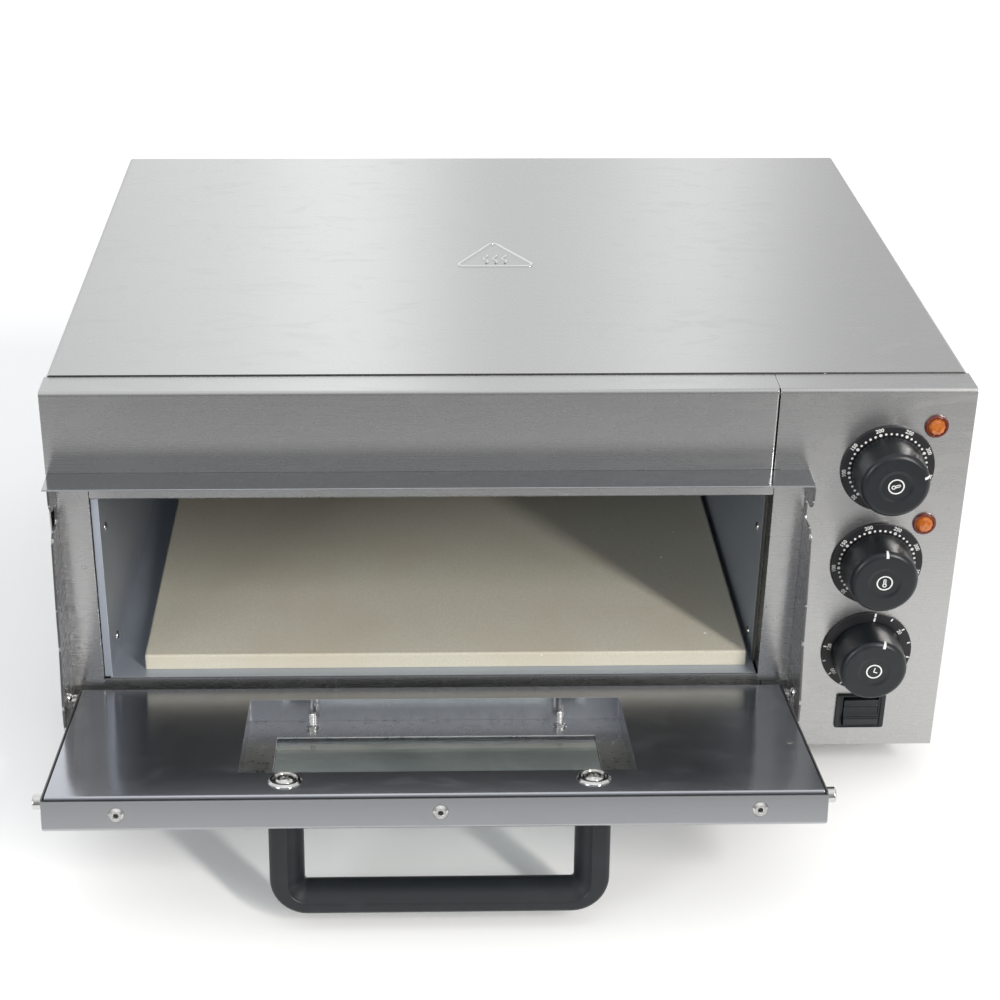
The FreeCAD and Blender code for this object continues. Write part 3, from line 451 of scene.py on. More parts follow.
def brushed_steel(name, base, tint, roughness, anisotropy, grain=1.0, smudge=1.0, wave=1.0, metallic=1.0,
                  fold=None):
    """Brushed sheet: fine lines along X (along Y on the sides), faint smears, and slightly wavy sheet.

    fold is (y of a folded edge, width): a bump makes the sheet seem to roll gently down towards it; its shape
    stays flat."""
    g = Graph(name, Metallic=metallic, Anisotropic=anisotropy)
    normal = g.add("NewGeometry").outputs["Normal"]
    sideways = g.add("SeparateXYZ")
    g.links.new(normal, sideways.inputs[0])
    on_side = g.range(g.math("ABSOLUTE", sideways.outputs["X"]), 0.6, 0.8, 0.0, 1.0)
    lines_x = g.noise((14, 1300, 1300), detail=2.0, rough=0.7)
    lines_y = g.noise((1300, 14, 1300), detail=2.0, rough=0.7)
    lines = g.add("Mix", data_type="FLOAT")
    for i, value in ((0, on_side), (2, lines_x), (3, lines_y)):
        g.set(lines.inputs[i], value)
    lines = lines.outputs[0]
    cloudy = g.noise(9, detail=4.0, warp=0.6)
    smears = g.noise((26, 60, 60), detail=5.0, rough=0.65, warp=1.2)
    shade = g.mix(g.range(lines, 0.2, 0.8, 0.0, grain), grey(base * 0.965, tint), grey(base * 1.035, tint))
    shade = g.mix(g.range(cloudy, 0.35, 0.7, 0.0, 0.3 * smudge), shade, grey(base * 0.94, tint))
    shade = g.mix(g.math("MULTIPLY", g.mark("edge"), 0.6), shade, grey(min(1.0, base * 1.3)))
    # painted shade: cut sheet edges are darkened, standing in for the shadow lines along edges and gaps
    shade = g.mix(g.math("MULTIPLY", g.mark("cut"), 0.9), shade, grey(base * 0.22))
    g.put("Base Color", shade)
    rough = g.math("ADD", g.range(lines, 0.2, 0.8, roughness - 0.02 * grain, roughness + 0.03 * grain),
                   g.range(smears, 0.5, 0.72, 0.0, 0.035 * smudge))
    rough = g.math("SUBTRACT", rough, g.math("MULTIPLY", g.mark("edge"), 0.05))
    g.put("Roughness", g.math("ADD", rough, g.math("MULTIPLY", g.mark("cut"), 0.2)))
    across = g.add("VectorMath", operation="CROSS_PRODUCT")
    g.links.new(normal, across.inputs[0])
    across.inputs[1].default_value = (1.0, 0.04, 0.0)
    g.links.new(across.outputs[0], g.shader.inputs["Tangent"])
    layers = [(lines, 0.006, 0.3 * grain), (g.noise((5, 9, 9), detail=1.0), 0.9, 0.06 * wave)]
    if fold:
        across_sheet = g.add("SeparateXYZ")
        g.links.new(g.place, across_sheet.inputs[0])
        near = g.math("MAXIMUM", g.math("SUBTRACT", fold[0] + fold[1], across_sheet.outputs["Y"]), 0.0)
        drop = g.math("POWER", g.math("DIVIDE", near, fold[1]), 2.0)
        layers.append((g.math("SUBTRACT", 1.0, drop), FOLD_DROP, 1.0))
    g.bump(*layers)
    return g.material


def plain_metal(name, base, tint, roughness):
    """Turned or plated metal, with faint machining variation."""
    g = Graph(name, Metallic=1.0)
    fine = g.noise(900, detail=3.0)
    shade = g.mix(g.range(fine, 0.3, 0.7, 0.0, 1.0), grey(base * 0.9, tint), grey(base * 1.05, tint))
    g.put("Base Color", g.mix(g.math("MULTIPLY", g.mark("edge"), 0.5), shade, grey(min(1.0, base * 1.25))))
    g.put("Roughness", g.range(g.noise(240, detail=4.0), 0.3, 0.7, roughness * 0.75, roughness * 1.3))
    g.bump((fine, 0.02, 0.25))
    return g.material


def moulded(name, colour, roughness, coat=0.0, texture=1.0):
    """Moulded plastic or rubber, with a fine spark texture and faint handling marks."""
    g = Graph(name, Coat_Weight=coat, Coat_Roughness=0.15, Specular_IOR_Level=0.36)
    fine = g.noise(1500, detail=2.0)
    marks = g.noise(38, detail=5.0, warp=0.8)
    lifted = tuple(min(1.0, c * 1.5 + 0.003) for c in colour) + (1.0,)
    shade = g.mix(g.range(marks, 0.45, 0.75, 0.0, 0.5), colour + (1.0,), lifted)
    g.put("Base Color", g.mix(g.math("MULTIPLY", g.mark("edge"), 0.35), shade, lifted))
    g.put("Roughness", g.math("ADD", g.range(fine, 0.3, 0.7, roughness - 0.05, roughness + 0.05),
                              g.range(marks, 0.5, 0.75, 0.0, 0.08)))
    g.bump((fine, 0.03, 0.3 * texture), (marks, 0.1, 0.05))
    return g.material


def fired_stone():
    """Pressed cordierite: sandy grain, pale and dark specks, a few crumbs and pits, and browner patches."""
    g = Graph("fired_stone", Specular_IOR_Level=0.3)
    sand = g.noise(1100, detail=3.0, rough=0.7)
    patches = g.noise(14, detail=5.0, warp=0.5)
    specks = g.cells(420)
    crumbs = g.cells(34)
    shade = g.mix(g.range(sand, 0.3, 0.7, 0.0, 1.0), (0.415, 0.392, 0.325, 1), (0.50, 0.478, 0.40, 1))
    shade = g.mix(g.range(patches, 0.42, 0.72, 0.0, 0.5), shade, (0.43, 0.385, 0.30, 1))
    shade = g.mix(g.range(specks, 0.10, 0.20, 0.45, 0.0), shade, (0.30, 0.27, 0.21, 1))
    shade = g.mix(g.range(crumbs, 0.025, 0.045, 0.9, 0.0), shade, (0.85, 0.83, 0.78, 1))
    g.put("Base Color", shade)
    g.put("Roughness", g.range(sand, 0.3, 0.7, 0.78, 0.95))
    g.bump((sand, 0.12, 0.5), (specks, 0.10, 0.25), (patches, 0.5, 0.08))
    return g.material


def rock_wool():
    g = Graph("rock_wool", Roughness=0.95, Sheen_Weight=0.3)
    fibres = g.noise((900, 120, 260), detail=5.0, warp=1.5)
    g.put("Base Color", g.mix(fibres, (0.10, 0.095, 0.08, 1), (0.26, 0.245, 0.20, 1)))
    g.bump((fibres, 1.2, 0.8))
    return g.material


def lamp_lens():
    g = Graph("lamp_lens", Roughness=0.12, Transmission_Weight=0.35, IOR=1.49, Coat_Weight=0.6,
              Emission_Strength=0.12)
    depth = g.noise(420, detail=2.0)
    g.put("Base Color", g.mix(g.range(depth, 0.3, 0.7, 0.0, 1.0),
                              (0.34, 0.075, 0.006, 1), (0.52, 0.16, 0.02, 1)))
    g.shader.inputs["Emission Color"].default_value = (0.85, 0.22, 0.02, 1)
    g.bump((depth, 0.2, 0.3))
    return g.material


def window_glass():
    g = Graph("window_glass", Transmission_Weight=1.0, IOR=1.5)
    smears = g.noise(30, detail=5.0, warp=1.0)
    g.put("Base Color", g.mix(g.range(smears, 0.4, 0.7, 0.0, 1.0),
                              (0.80, 0.88, 0.86, 1), (0.72, 0.80, 0.79, 1)))
    g.put("Roughness", g.range(smears, 0.5, 0.8, 0.01, 0.10))
    g.bump((smears, 0.05, 0.05))
    return g.material


def heater_sheath():
    g = Graph("heater_sheath", Metallic=0.8)
    scale = g.noise(260, detail=5.0)
    g.put("Base Color", g.mix(g.range(scale, 0.35, 0.7, 0.0, 1.0),
                              (0.07, 0.065, 0.06, 1), (0.20, 0.15, 0.12, 1)))
    g.put("Roughness", g.range(scale, 0.3, 0.7, 0.45, 0.7))
    g.bump((scale, 0.1, 0.4))
    return g.material


DOOR_INNER_STEEL = brushed_steel("door_inner_steel", 0.47, (0.955, 0.985, 1.06), 0.20, 0.9, grain=0.3,
                                 wave=0.5, fold=(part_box("door_inner_panel")[0].y, 0.032))
# painted highlight: the pressed mark is paler than the cover's own steel so that its lines read bright
EMBOSS_HIGHLIGHT_STEEL = brushed_steel("embossed_steel_painted_highlight", 0.60, (1.0, 1.0, 1.0), 0.16, 0.3, grain=0.1)
LEDGE_STEEL = brushed_steel("ledge_steel", 0.46, (0.97, 0.995, 1.03), 0.17, 0.85, grain=0.3, wave=0.6)
MATERIALS = {
    "casing_steel": brushed_steel("casing_steel", 0.47, (1.0, 0.995, 0.99), 0.27, 0.86, grain=0.25),
    "door_steel": brushed_steel("door_steel", 0.42, (0.975, 0.995, 1.03), 0.20, 0.9, grain=0.35, wave=0.5),
    "chamber_steel": brushed_steel("chamber_steel", 0.50, (0.90, 0.98, 1.10), 0.44, 0.5, grain=0.4,
                                   smudge=2.0, wave=2.0, metallic=0.75),
    "galvanised_steel": plain_metal("galvanised_steel", 0.50, (0.98, 1.0, 1.02), 0.34),
    "bright_metal": plain_metal("bright_metal", 0.60, (1.0, 0.99, 0.97), 0.13),
    "black_plastic": moulded("black_plastic", (0.009, 0.011, 0.013), 0.34, texture=0.8),
    "printed_ring": moulded("printed_ring", (0.012, 0.012, 0.014), 0.42, texture=0.6),
    "control_body": moulded("control_body", (0.70, 0.66, 0.58), 0.5),
    "lamp_ring": moulded("lamp_ring", (0.10, 0.014, 0.008), 0.25, coat=0.5),
    "foot_rubber": moulded("foot_rubber", (0.018, 0.018, 0.018), 0.75, texture=1.5),
    "fired_stone": fired_stone(),
    "rock_wool": rock_wool(),
    "lamp_lens": lamp_lens(),
    "window_glass": window_glass(),
    "heater_sheath": heater_sheath(),
}
WHITE_PRINT = moulded("white_print", (0.62, 0.62, 0.61), 0.5, texture=0.3)


# ---- casing and chamber ----

MARK_RADIUS = 31.5  # from the middle of the embossed triangle to its corners
MARK_DEPTH = 223.0  # from the front panel's face to that middle
MARK_PROUD = 0.8  # how far the CAD mark stands above the cover


def mark_place():
    """The middle of the embossed mark, in the casing's drawing: on the cover's centre line."""
    low, high = local_box("top_cover", CASING)
    return (low.x + high.x) / 2, MARK_DEPTH, high.z - MARK_PROUD


def flatten_mark(bm):
    """The CAD mark is pressed flat here, and drawn again with soft edges."""
    u, v, top = mark_place()
    middle = CASING @ Vector((u, v, top)) / MM
    for vertex in bm.verts:
        if (vertex.co - middle).length < MARK_RADIUS + 4 and vertex.co.z > middle.z - 0.3:
            vertex.co.z = middle.z
    bmesh.ops.dissolve_degenerate(bm, edges=bm.edges, dist=1e-3)


def beside_seam(edge):
    """The upright bends where the front panel meets the control panel."""
    foot, head = (vertex.co for vertex in edge.verts)
    seam_x, seam_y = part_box("control_panel")[0].x / MM, FRONT_Y / MM
    upright = abs(foot.x - head.x) < 0.1 and abs(foot.y - head.y) < 0.1 and abs(foot.z - head.z) > 20
    return upright and abs(foot.x - seam_x) < 3 and abs(foot.y - seam_y) < 0.3


def pressed_bead(half_width, height, sunk):
    """The section of a pressed bead: half an ellipse with its foot sunk in the sheet."""
    return [(half_width * math.cos(math.pi * k / 8), height * math.sin(math.pi * k / 8) - sunk)
            for k in range(9)]


def embossed_mark():
    """A pressed triangle with three plain wavy ribs in it, in a paler steel than the cover it is pressed
    from: a painted highlight.
    """
    u, v, top = mark_place()
    corners = [(u + MARK_RADIUS * math.sin(a), v + MARK_RADIUS * math.cos(a), 3.0)
               for a in (0, math.tau / 3, 2 * math.tau / 3)]
    outline = swept(rounded(corners, 6), pressed_bead(1.3, 1.08, 0.30), closed=True)
    ribs = []
    for k in (-1, 0, 1):
        path = [Vector((u + 6.4 * k + 1.5 * math.sin(t * 1.35 * math.tau), v - 10.5 + 15.5 * t))
                for t in (i / 24 for i in range(25))]
        ribs.append(swept(path, pressed_bead(0.9, 1.0, 0.28)))
    show("embossed_mark", moved(merged(outline, *ribs), 0, 0, top), "oven", "casing_steel", CASING,
         material=EMBOSS_HIGHLIGHT_STEEL, crease=60)


def rivets():
    """Domed rivet heads on both walls of the chamber."""
    parts = []
    middle = sum(local_box("baking_stone", CASING), Vector()).x / 2
    in_wall = 1.0
    for low, high, mid in islands("chamber_rivets", CASING):
        radius = (high.z - low.z) / 2
        inward = 1 if low.x < middle else -1
        wall = low.x + in_wall if inward > 0 else high.x - in_wall
        parts.append(moved(dome(radius, 1.3), wall, mid.y, mid.z, turn=to_side(inward)))
    show("rivet_heads", merged(*parts), "oven", "bright_metal", CASING, ("chamber_rivets",))


def left_return():
    """The folded side of the front on the left, back to the cover's edge. It has no CAD piece."""
    face, cover, tray = (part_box(node) for node in ("front_panel", "top_cover", "base_tray"))
    skin, gap = 0.8 * MM, 0.3 * MM
    left, top = face[0].x, face[1].z - 2 * skin
    front, back = face[0].y + skin, min(cover[0].y, face[1].y) - gap
    sheet = loft([[Vector((x, y, z)) for x, y in
                   ((left, front), (left + skin, front), (left + skin, back), (left, back))]
                  for z in (tray[0].z, top)])
    show("left_return", sheet, "oven", "casing_steel")


def weld_marks():
    """Faint round spot-weld marks on the left post, and a small stud head at the right post's inner edge."""
    low, high = local_box("left_post", CASING)
    weld_in, weld_down = 12.8, (15, 63)
    parts = []
    for down in weld_down:
        ring = lathe([(1.2, -0.1), (1.2, 0.04), (1.45, 0.10), (1.7, 0.04), (1.7, -0.1)], 28)
        parts.append(moved(ring, low.x + weld_in, low.y, high.z - down, turn=TO_FRONT))
    low, high = local_box("right_post", CASING)
    stud_in, stud_down = 2.2, 94
    parts.append(moved(dome(1.3, 0.12, 0.3), low.x + stud_in, low.y, high.z - stud_down, turn=TO_FRONT))
    show("spot_weld_marks", merged(*parts), "oven", "casing_steel", CASING)


def cross_cutter(reach, half, low, high):
    return [prism([(-a, -b), (a, -b), (a, b), (-a, b)], low, high) for a, b in ((reach, half), (half, reach))]


def pan_head(radius, height, drive):
    """A rounded screw head on the plane z = 0, with a cross recess."""
    crown = [(radius * math.cos(a) ** 0.8, height * math.sin(a))
             for a in (math.pi * k / 14 for k in range(7))]
    head = lathe([(0, -0.3), (radius * 0.97, -0.3), *crown, (0, height)], 40)
    for bar in cross_cutter(drive, drive * 0.24, height * 0.35, height + 1):
        head = carved(head, bar)
    return head


def dome(radius, height, depth=0.8):
    """A low domed head on the plane z = 0, with a stub under it."""
    return lathe([(0, -depth), (radius * 0.5, -depth), (radius, 0)] + [
        (radius * math.cos(a), height * math.sin(a)) for a in (math.pi / 2 * k / 8 for k in range(1, 9))], 32)


def casing_screws():
    """Cross-head screws along the cover's sides, and a domed screw low on each cheek's inner face."""
    proud = 2.0
    parts = []
    for low, high, mid in islands("casing_screws", CASING):
        on_cheek = low.y < 0
        outward = -1 if (low.x < LEFT_HALF) != on_cheek else 1
        plane = low.x + proud if outward < 0 else high.x - proud
        head = dome(3.0, proud) if on_cheek else pan_head(4.0, proud, 2.4)
        parts.append(moved(head, plane, mid.y, mid.z, turn=to_side(outward)))
    show("casing_screw_heads", merged(*parts), "oven", "bright_metal", CASING, ("casing_screws",))


def feet():
    """Round rubber feet with a ribbed side and a moulded recess underneath."""
    parts = []
    for low, high, mid in islands("feet", CASING):
        radius = (high.x - low.x) / 2
        bottom = low.z
        outline = rounded([(3, -3, 0), (3, bottom + 4, 0.8), (radius - 7, bottom + 3, 1),
                           (radius - 6, bottom, 0.8), (radius - 3, bottom, 1.4), (radius - 1.6, -13, 0.6),
                           (radius - 2.2, -12, 0.4), (radius - 1.4, -11, 0.4), (radius, -0.2, 1.0),
                           (3, -0.2, 0)], 3)
        parts.append(moved(lathe(outline, 48), mid.x, mid.y, 0))
    show("rubber_feet", merged(*parts), "oven", "foot_rubber", CASING, ("feet",))


def gland():
    """The cable gland: a hexagonal nut, a fluted cap and its rubber seal."""
    low, high = local_box("cable_gland", CASING)
    u, v = (low.x + high.x) / 2, (low.z + high.z) / 2
    back = local_box("rear_panel", CASING)[1].y
    reach = high.y - back
    nut = bevelled(lathe([(4.2, 0.0), (4.2, 5.0), (9.3, 5.0), (10.0, 4.2), (10.0, 0.0)], 6), 0.4)
    steps, flutes, flute_depth = 96, 16, 0.35
    rows = []
    for k in range(steps):
        a = math.tau * k / steps
        swell = flute_depth * math.cos(flutes * a)
        rows.append([Vector(((r + swell * is_fluted) * math.cos(a), (r + swell * is_fluted) * math.sin(a), z))
                     for r, z, is_fluted in ((4.2, 5.2, 0), (4.2, reach, 0), (7.6, reach, 0),
                                             (8.6, reach - 1.2, 1), (9.8, 6.4, 1), (9.8, 5.2, 1))])
    cap = loft(rows, loop=True)
    seal = lathe(rounded([(4.0, reach - 3, 0), (4.0, reach - 0.2, 0.4), (6.6, reach - 0.2, 0.6),
                          (6.6, reach - 3, 0)]), 40)
    show("gland_body", moved(merged(nut, cap, seal), u, back, v, turn=TO_BACK), "oven", "black_plastic",
         CASING, ("cable_gland",))


def hinges():
    """Hexagon bolts with washers and spacing collars at the ends of the hinge axis."""
    head_top = 2.6
    parts = []
    for low, high, mid in islands("hinge_pins", CASING):
        outward = -1 if low.x < LEFT_HALF else 1
        outer = low.x + head_top if outward < 0 else high.x - head_top
        length = high.x - low.x - head_top
        head = bevelled(lathe([(0, 0.9), (5.1, 0.9), (5.1, head_top), (0, head_top)], 6), 0.35)
        washer = lathe(rounded([(3, 0, 0), (5.5, 0, 0.3), (5.5, 0.9, 0.3), (3, 0.9, 0)]), 40)
        shank = lathe([(0, -length), (2.7, -length), (3, 0.5 - length), (3, 0), (0, 0)], 32)
        collar = lathe(rounded([(3, -5.1, 0), (5, -5.1, 0.5), (5, -1.5, 0.3), (3, -1.5, 0)]), 40)
        bolt = merged(head, washer, shank, collar)
        parts.append(moved(bolt, outer, mid.y, mid.z, turn=to_side(outward)))
    show("hinge_bolts", merged(*parts), "oven", "bright_metal", CASING, ("hinge_pins",))


# ---- controls ----

# Pointer angles at the end of each scale, in degrees clockwise from the top of the dial.
HEAT_END, TIMER_END = 103.0, 276.0


def clockwise(angle, radius):
    """A point on a dial, from its angle clockwise from the top."""
    return radius * math.sin(math.radians(angle)), radius * math.cos(math.radians(angle))


def on_dial(bm, angle, radius, height):
    """Stands a drawn mark on a dial, its foot towards the middle."""
    u, v = clockwise(angle, radius)
    return moved(bm, u, v, height, turn=Matrix.Rotation(-math.radians(angle), 4, "Z"))


def dash(width, length):
    u, v, radius = width / 2, length / 2, width * 0.4
    return prism(rounded([(-u, -v, radius), (u, -v, radius), (u, v, radius), (-u, v, radius)], 2),
                 -PRINT_THICK / 2, PRINT_THICK / 2)


def heat_marks(face):
    """Dots every ten degrees of heat, larger every fifty, with their numbers."""
    marks = []
    start, dots = -135.4, 31
    for i in range(dots):
        angle = start + (HEAT_END - start) * i / (dots - 1)
        size = 1.0 if i % 5 == 0 else 0.75
        marks.append(on_dial(disc(0, 0, size, -PRINT_THICK / 2, PRINT_THICK / 2, 16), angle, 23.6, face))
        if i % 5 == 0:
            marks.append(on_dial(lettering(str(50 + 10 * i), 3.4), angle, 26.6, face))
    return marks


def timer_marks(face):
    """A pair of dashes at nought, then a tick every ten minutes up to 120, numbered every twenty."""
    marks = [on_dial(dash(1.2, 2.8), 7, radius, face) for radius in (27.0, 23.8)]
    first, last, steps = 31.0, 279.0, 12
    for n in range(1, steps + 1):
        angle = first + (last - first) * (n - 1) / (steps - 1)
        marks.append(on_dial(dash(0.95, 2.1), angle, 27.2, face))
        if n % 2 == 0:
            marks.append(on_dial(lettering(str(10 * n), 3.3), angle, 24.3, face))
    return marks


def knob_profile(foot, radius, reach, taper):
    return rounded([(3.2, foot, 0), (radius - 1.0, foot, 0.4), (radius, foot + 1.0, 0.8),
                    (radius - taper, reach, 3.6), (10.5, reach, 2.0), (8.6, reach - 0.5, 1.5),
                    (0, reach - 0.5, 0), (0, reach - 6, 0), (3.2, reach - 6, 0)], 7)


def pointer_strip(profile, width, low, inner):
    """A painted line that runs up the knob's side and over its rounded edge."""
    outer = [p for p in profile if p.x > inner and p.y > low]
    rows = []
    for i, point in enumerate(outer):
        before, after = outer[max(0, i - 1)], outer[min(len(outer) - 1, i + 1)]
        along = (after - before).normalized()
        out = Vector((along.y, -along.x))
        if out.x < 0 and out.y < 0:
            out = -out
        share = i / (len(outer) - 1)
        half = width / 2 * (0.75 + 0.35 * share)
        lifted, sunk = point + out * 0.05, point - out * 0.15
        rows.append([Vector((x, *p)) for x, p in
                     ((-half, lifted), (half, lifted), (half, sunk), (-half, sunk))])
    return loft(rows)


def badge(kind, height):
    """A small ring with a plain sign in it: a thermometer for heat, or a clock's hands."""
    low, high = height - 0.2, height + PRINT_THICK
    ring = lathe([(4.2, low), (4.2, high), (5.0, high), (5.0, low)], 48)
    if kind == "timer":
        bars, bulb = [((-0.2, -0.4), (-0.2, 2.7)), ((-0.2, -0.4), (2.2, -0.4))], []
    else:
        bars = [((-0.6, -0.6), (-0.6, 2.4)), ((0.6, -0.6), (0.6, 2.4)), ((-0.6, 2.4), (0.6, 2.4))]
        bulb = [moved(lathe([(0.75, low), (0.75, high), (1.35, high), (1.35, low)], 28), 0, -1.6, 0)]
    section = [(-0.3, low), (0.3, low), (0.3, high), (-0.3, high)]
    strokes = [swept([Vector(a), Vector(b)], section) for a, b in bars]
    return merged(ring, *bulb, *strokes)


def dial(prefix):
    """One control: the printed ring on the panel and the knob that turns on it."""
    is_timer = prefix == "timer"
    ring_node, knob_node, shaft = (f"{prefix}_{part}" for part in ("dial_ring", "knob", "knob_shaft"))
    place = control_frame(ring_node)
    low, high = local_box(ring_node, place)
    radius, face = high.x, high.z
    outline = rounded([(5, 0, 0), (radius, 0, 0), (radius, face, 0.7), (21.6, face, 0), (21.0, face - 0.3, 0),
                       (5, face - 0.3, 0)], 5)
    show(f"{ring_node}_plate", lathe(outline, 96), "oven", "printed_ring", place, (ring_node,))
    marks = timer_marks(face) if is_timer else heat_marks(face)
    show(f"{prefix}_dial_marks", merged(*marks), "oven", "printed_ring", place, material=WHITE_PRINT)

    joint = JOINTS["timer_turn" if is_timer else f"{prefix}_heat_turn"]
    at_rest = math.radians((TIMER_END if is_timer else HEAT_END) - joint["range_deg"][1])
    turned = place @ Matrix.Rotation(-at_rest, 4, "Z")
    low, high = local_box(knob_node, place)
    profile = knob_profile(low.z, high.x, high.z, 1.6)
    body = joint["child"]
    show(f"{prefix}_knob_cap", lathe(profile, 96), body, "black_plastic", turned, (knob_node,), crease=50)
    strip = pointer_strip(profile, 1.6, high.z - 12, 12.0)
    show(f"{prefix}_pointer_line", strip, body, "black_plastic", turned, material=WHITE_PRINT)
    show(f"{prefix}_badge", badge(prefix, high.z - 0.5), body, "black_plastic", turned, material=WHITE_PRINT)
    NODES[shaft].data.materials.clear()
    NODES[shaft].data.materials.append(MATERIALS["bright_metal"])


def lamps():
    """Pilot lamps: a faceted orange lens in a dark red ring."""
    crown = -local_box("lamp_lenses", CASING)[0].y
    lenses, rings = [], []
    for low, high, mid in islands("lamp_rings", CASING):
        radius, proud = (high.x - low.x) / 2, high.y - low.y
        ring = lathe(rounded([(5.5, 0, 0), (radius, 0, 0), (radius, proud * 0.6, 0.5),
                              (radius - 0.7, proud, 0.4), (5.5, proud, 0.2)], 3), 48)
        rings.append(moved(ring, mid.x, 0, mid.z, turn=TO_FRONT))
        lens = lathe([(0, -8), (5.4, -8), (5.4, 1.2), (5.0, 2.4), (3.9, crown - 0.6), (2.0, crown),
                      (0, crown)], 10)
        lenses.append(moved(lens, mid.x, 0, mid.z, turn=TO_FRONT))
    show("pilot_lamp_rings", merged(*rings), "oven", "lamp_ring", CASING, ("lamp_rings",))
    show("pilot_lamp_lenses", merged(*lenses), "oven", "lamp_lens", CASING, ("lamp_lenses",), crease=12)


def switch():
    """The rocker switch: a stepped bezel round a well, and a rocker with grip lines and a pivot ridge."""
    place = control_frame("switch_housing")
    low, high = local_box("switch_housing", place)
    half_u, half_v, rim = high
    well_u, well_v = 11.5, 10.6
    tub_u, tub_v, tub_top, tub_bottom = 14, 11.5, -9.2, -20

    def loop(u, v, radius, z):
        return [Vector((*p, z)) for p in rounded([(-u, -v, radius), (u, -v, radius), (u, v, radius),
                                                  (-u, v, radius)], 3)]
    rows = [loop(half_u, half_v, 1.6, 0), loop(half_u, half_v, 1.6, rim - 0.7),
            loop(half_u - 0.3, half_v - 0.3, 1.5, rim - 0.2), loop(half_u - 0.9, half_v - 0.9, 1.3, rim),
            loop(well_u + 1.6, well_v + 1.1, 0.9, rim), loop(well_u + 1.2, well_v + 0.7, 0.8, rim - 0.6),
            loop(well_u, well_v, 0.6, rim - 0.8), loop(well_u, well_v, 0.6, tub_top),
            loop(tub_u, tub_v, 0.6, tub_top), loop(tub_u, tub_v, 0.6, 0)]
    bezel = loft(rows, loop=True)
    tub = loft([loop(tub_u, tub_v, 0.6, tub_top), loop(tub_u, tub_v, 0.6, tub_bottom)])
    tabs = [prism([(u, -3), (u + 0.9, -3), (u + 0.9, 3), (u, 3)], low.z, tub_bottom + 0.5)
            for u in (-8, 0, 8)]
    show("switch_bezel", merged(bezel, tub, *tabs), "oven", "black_plastic", place, ("switch_housing",),
         crease=30)

    tip = math.radians(JOINTS["rocker_tilt"]["range_deg"][1] / 2)
    turned = place @ Matrix.Rotation(-tip, 4, "X")
    half_width = 11
    side = rounded([(-4, -5, 1), (-8.8, -2, 0.6), (-8.8, 4.2, 0.8), (-4.8, 2.9, 0.8), (-4.4, 3.5, 0.4),
                    (-3.6, 3.5, 0.4), (-3.2, 2.5, 0.6), (0, 2.1, 4), (3.2, 2.5, 0.6), (3.6, 3.5, 0.4),
                    (4.4, 3.5, 0.4), (4.8, 2.9, 0.8), (8.8, 4.2, 0.8), (8.8, -2, 0.6), (4, -5, 1)], 4)
    rows = [[Vector((x, v, z)) for v, z in side] for x in (-half_width, half_width)]
    show("rocker_cap", bevelled(loft(rows), 0.35, 60), "rocker", "black_plastic", turned, ("switch_rocker",))


# ---- door ----

def handle():
    """A moulded D handle: a flat band follows its outline, and the inner side rolls away behind a ridge."""
    low, high = local_box("door_handle", DOOR)
    base, far = high.y, low.y
    back, front = low.z, high.z
    left, right = low.x, high.x

    def contour(in_leg, in_bar, radius, depth):
        """Points round the D at one inset, from the left foot to the right one."""
        corners = [(left + in_leg, far + in_bar), (right - in_leg, far + in_bar)]
        radius = max(0.3, radius)
        path = [Vector((corners[0][0], base, depth))]
        for (u, v), a0 in zip(corners, (math.pi, 1.5 * math.pi)):
            centre = Vector((u + (radius if a0 == math.pi else -radius), v + radius))
            for k in range(11):
                a = a0 + math.pi / 2 * k / 10
                path.append(Vector((centre.x + radius * math.cos(a), centre.y + radius * math.sin(a), depth)))
        path.append(Vector((corners[1][0], base, depth)))
        return path

    section = [
        (0.0, 0.0, 22, back + 3), (0.0, 0.0, 22, front - 2.6), (0.5, 0.5, 21.5, front - 1.0),
        (1.8, 1.8, 20, front - 0.1), (3.2, 3.0, 18, front), (10.0, 6.6, 12, front),
        (10.8, 7.4, 11, front - 0.6), (11.6, 8.4, 10, front - 1.9), (14.0, 10.6, 8, front - 3.9),
        (16.8, 13.0, 5, front - 6.8),
        (19.2, 15.0, 3, front - 10), (20.0, 16.0, 2, front - 12.8), (19.6, 15.6, 2, back + 1.6),
        (18.0, 14.2, 3, back), (3.0, 3.0, 19, back), (0.9, 0.9, 21, back + 0.9),
    ]
    contours = [contour(*item) for item in section]
    rows = [[line[i] for line in contours] for i in range(len(contours[0]))]
    show("door_handle_grip", loft(rows), "door", "black_plastic", DOOR, ("door_handle",), crease=50)


def handle_screws():
    """Large pan-head screws in bright cup washers."""
    face = local_box("door_inner_panel", DOOR)[1].y
    cross_turn = Matrix.Rotation(0.75, 4, "Z")
    narrowest_cup = 15
    parts = []
    for low, high, mid in islands("handle_screws", DOOR):
        if high.x - low.x < narrowest_cup:
            continue
        radius = (high.x - low.x) / 2
        cup = lathe(rounded([(6.2, 0, 0), (radius, 0, 0), (radius, 0.5, 0.3), (radius - 1.2, 1.7, 0.9),
                             (radius - 2.6, 2.0, 0.6), (6.4, 0.5, 0)], 4), 56)
        head = moved(pan_head(6.1, 2.7, 4.6), 0, 0, 0.3)
        parts.append(moved(merged(cup, head), mid.x, face, mid.z, turn=TO_BACK @ cross_turn))
    show("handle_screw_heads", merged(*parts), "door", "bright_metal", DOOR, ("handle_screws",))


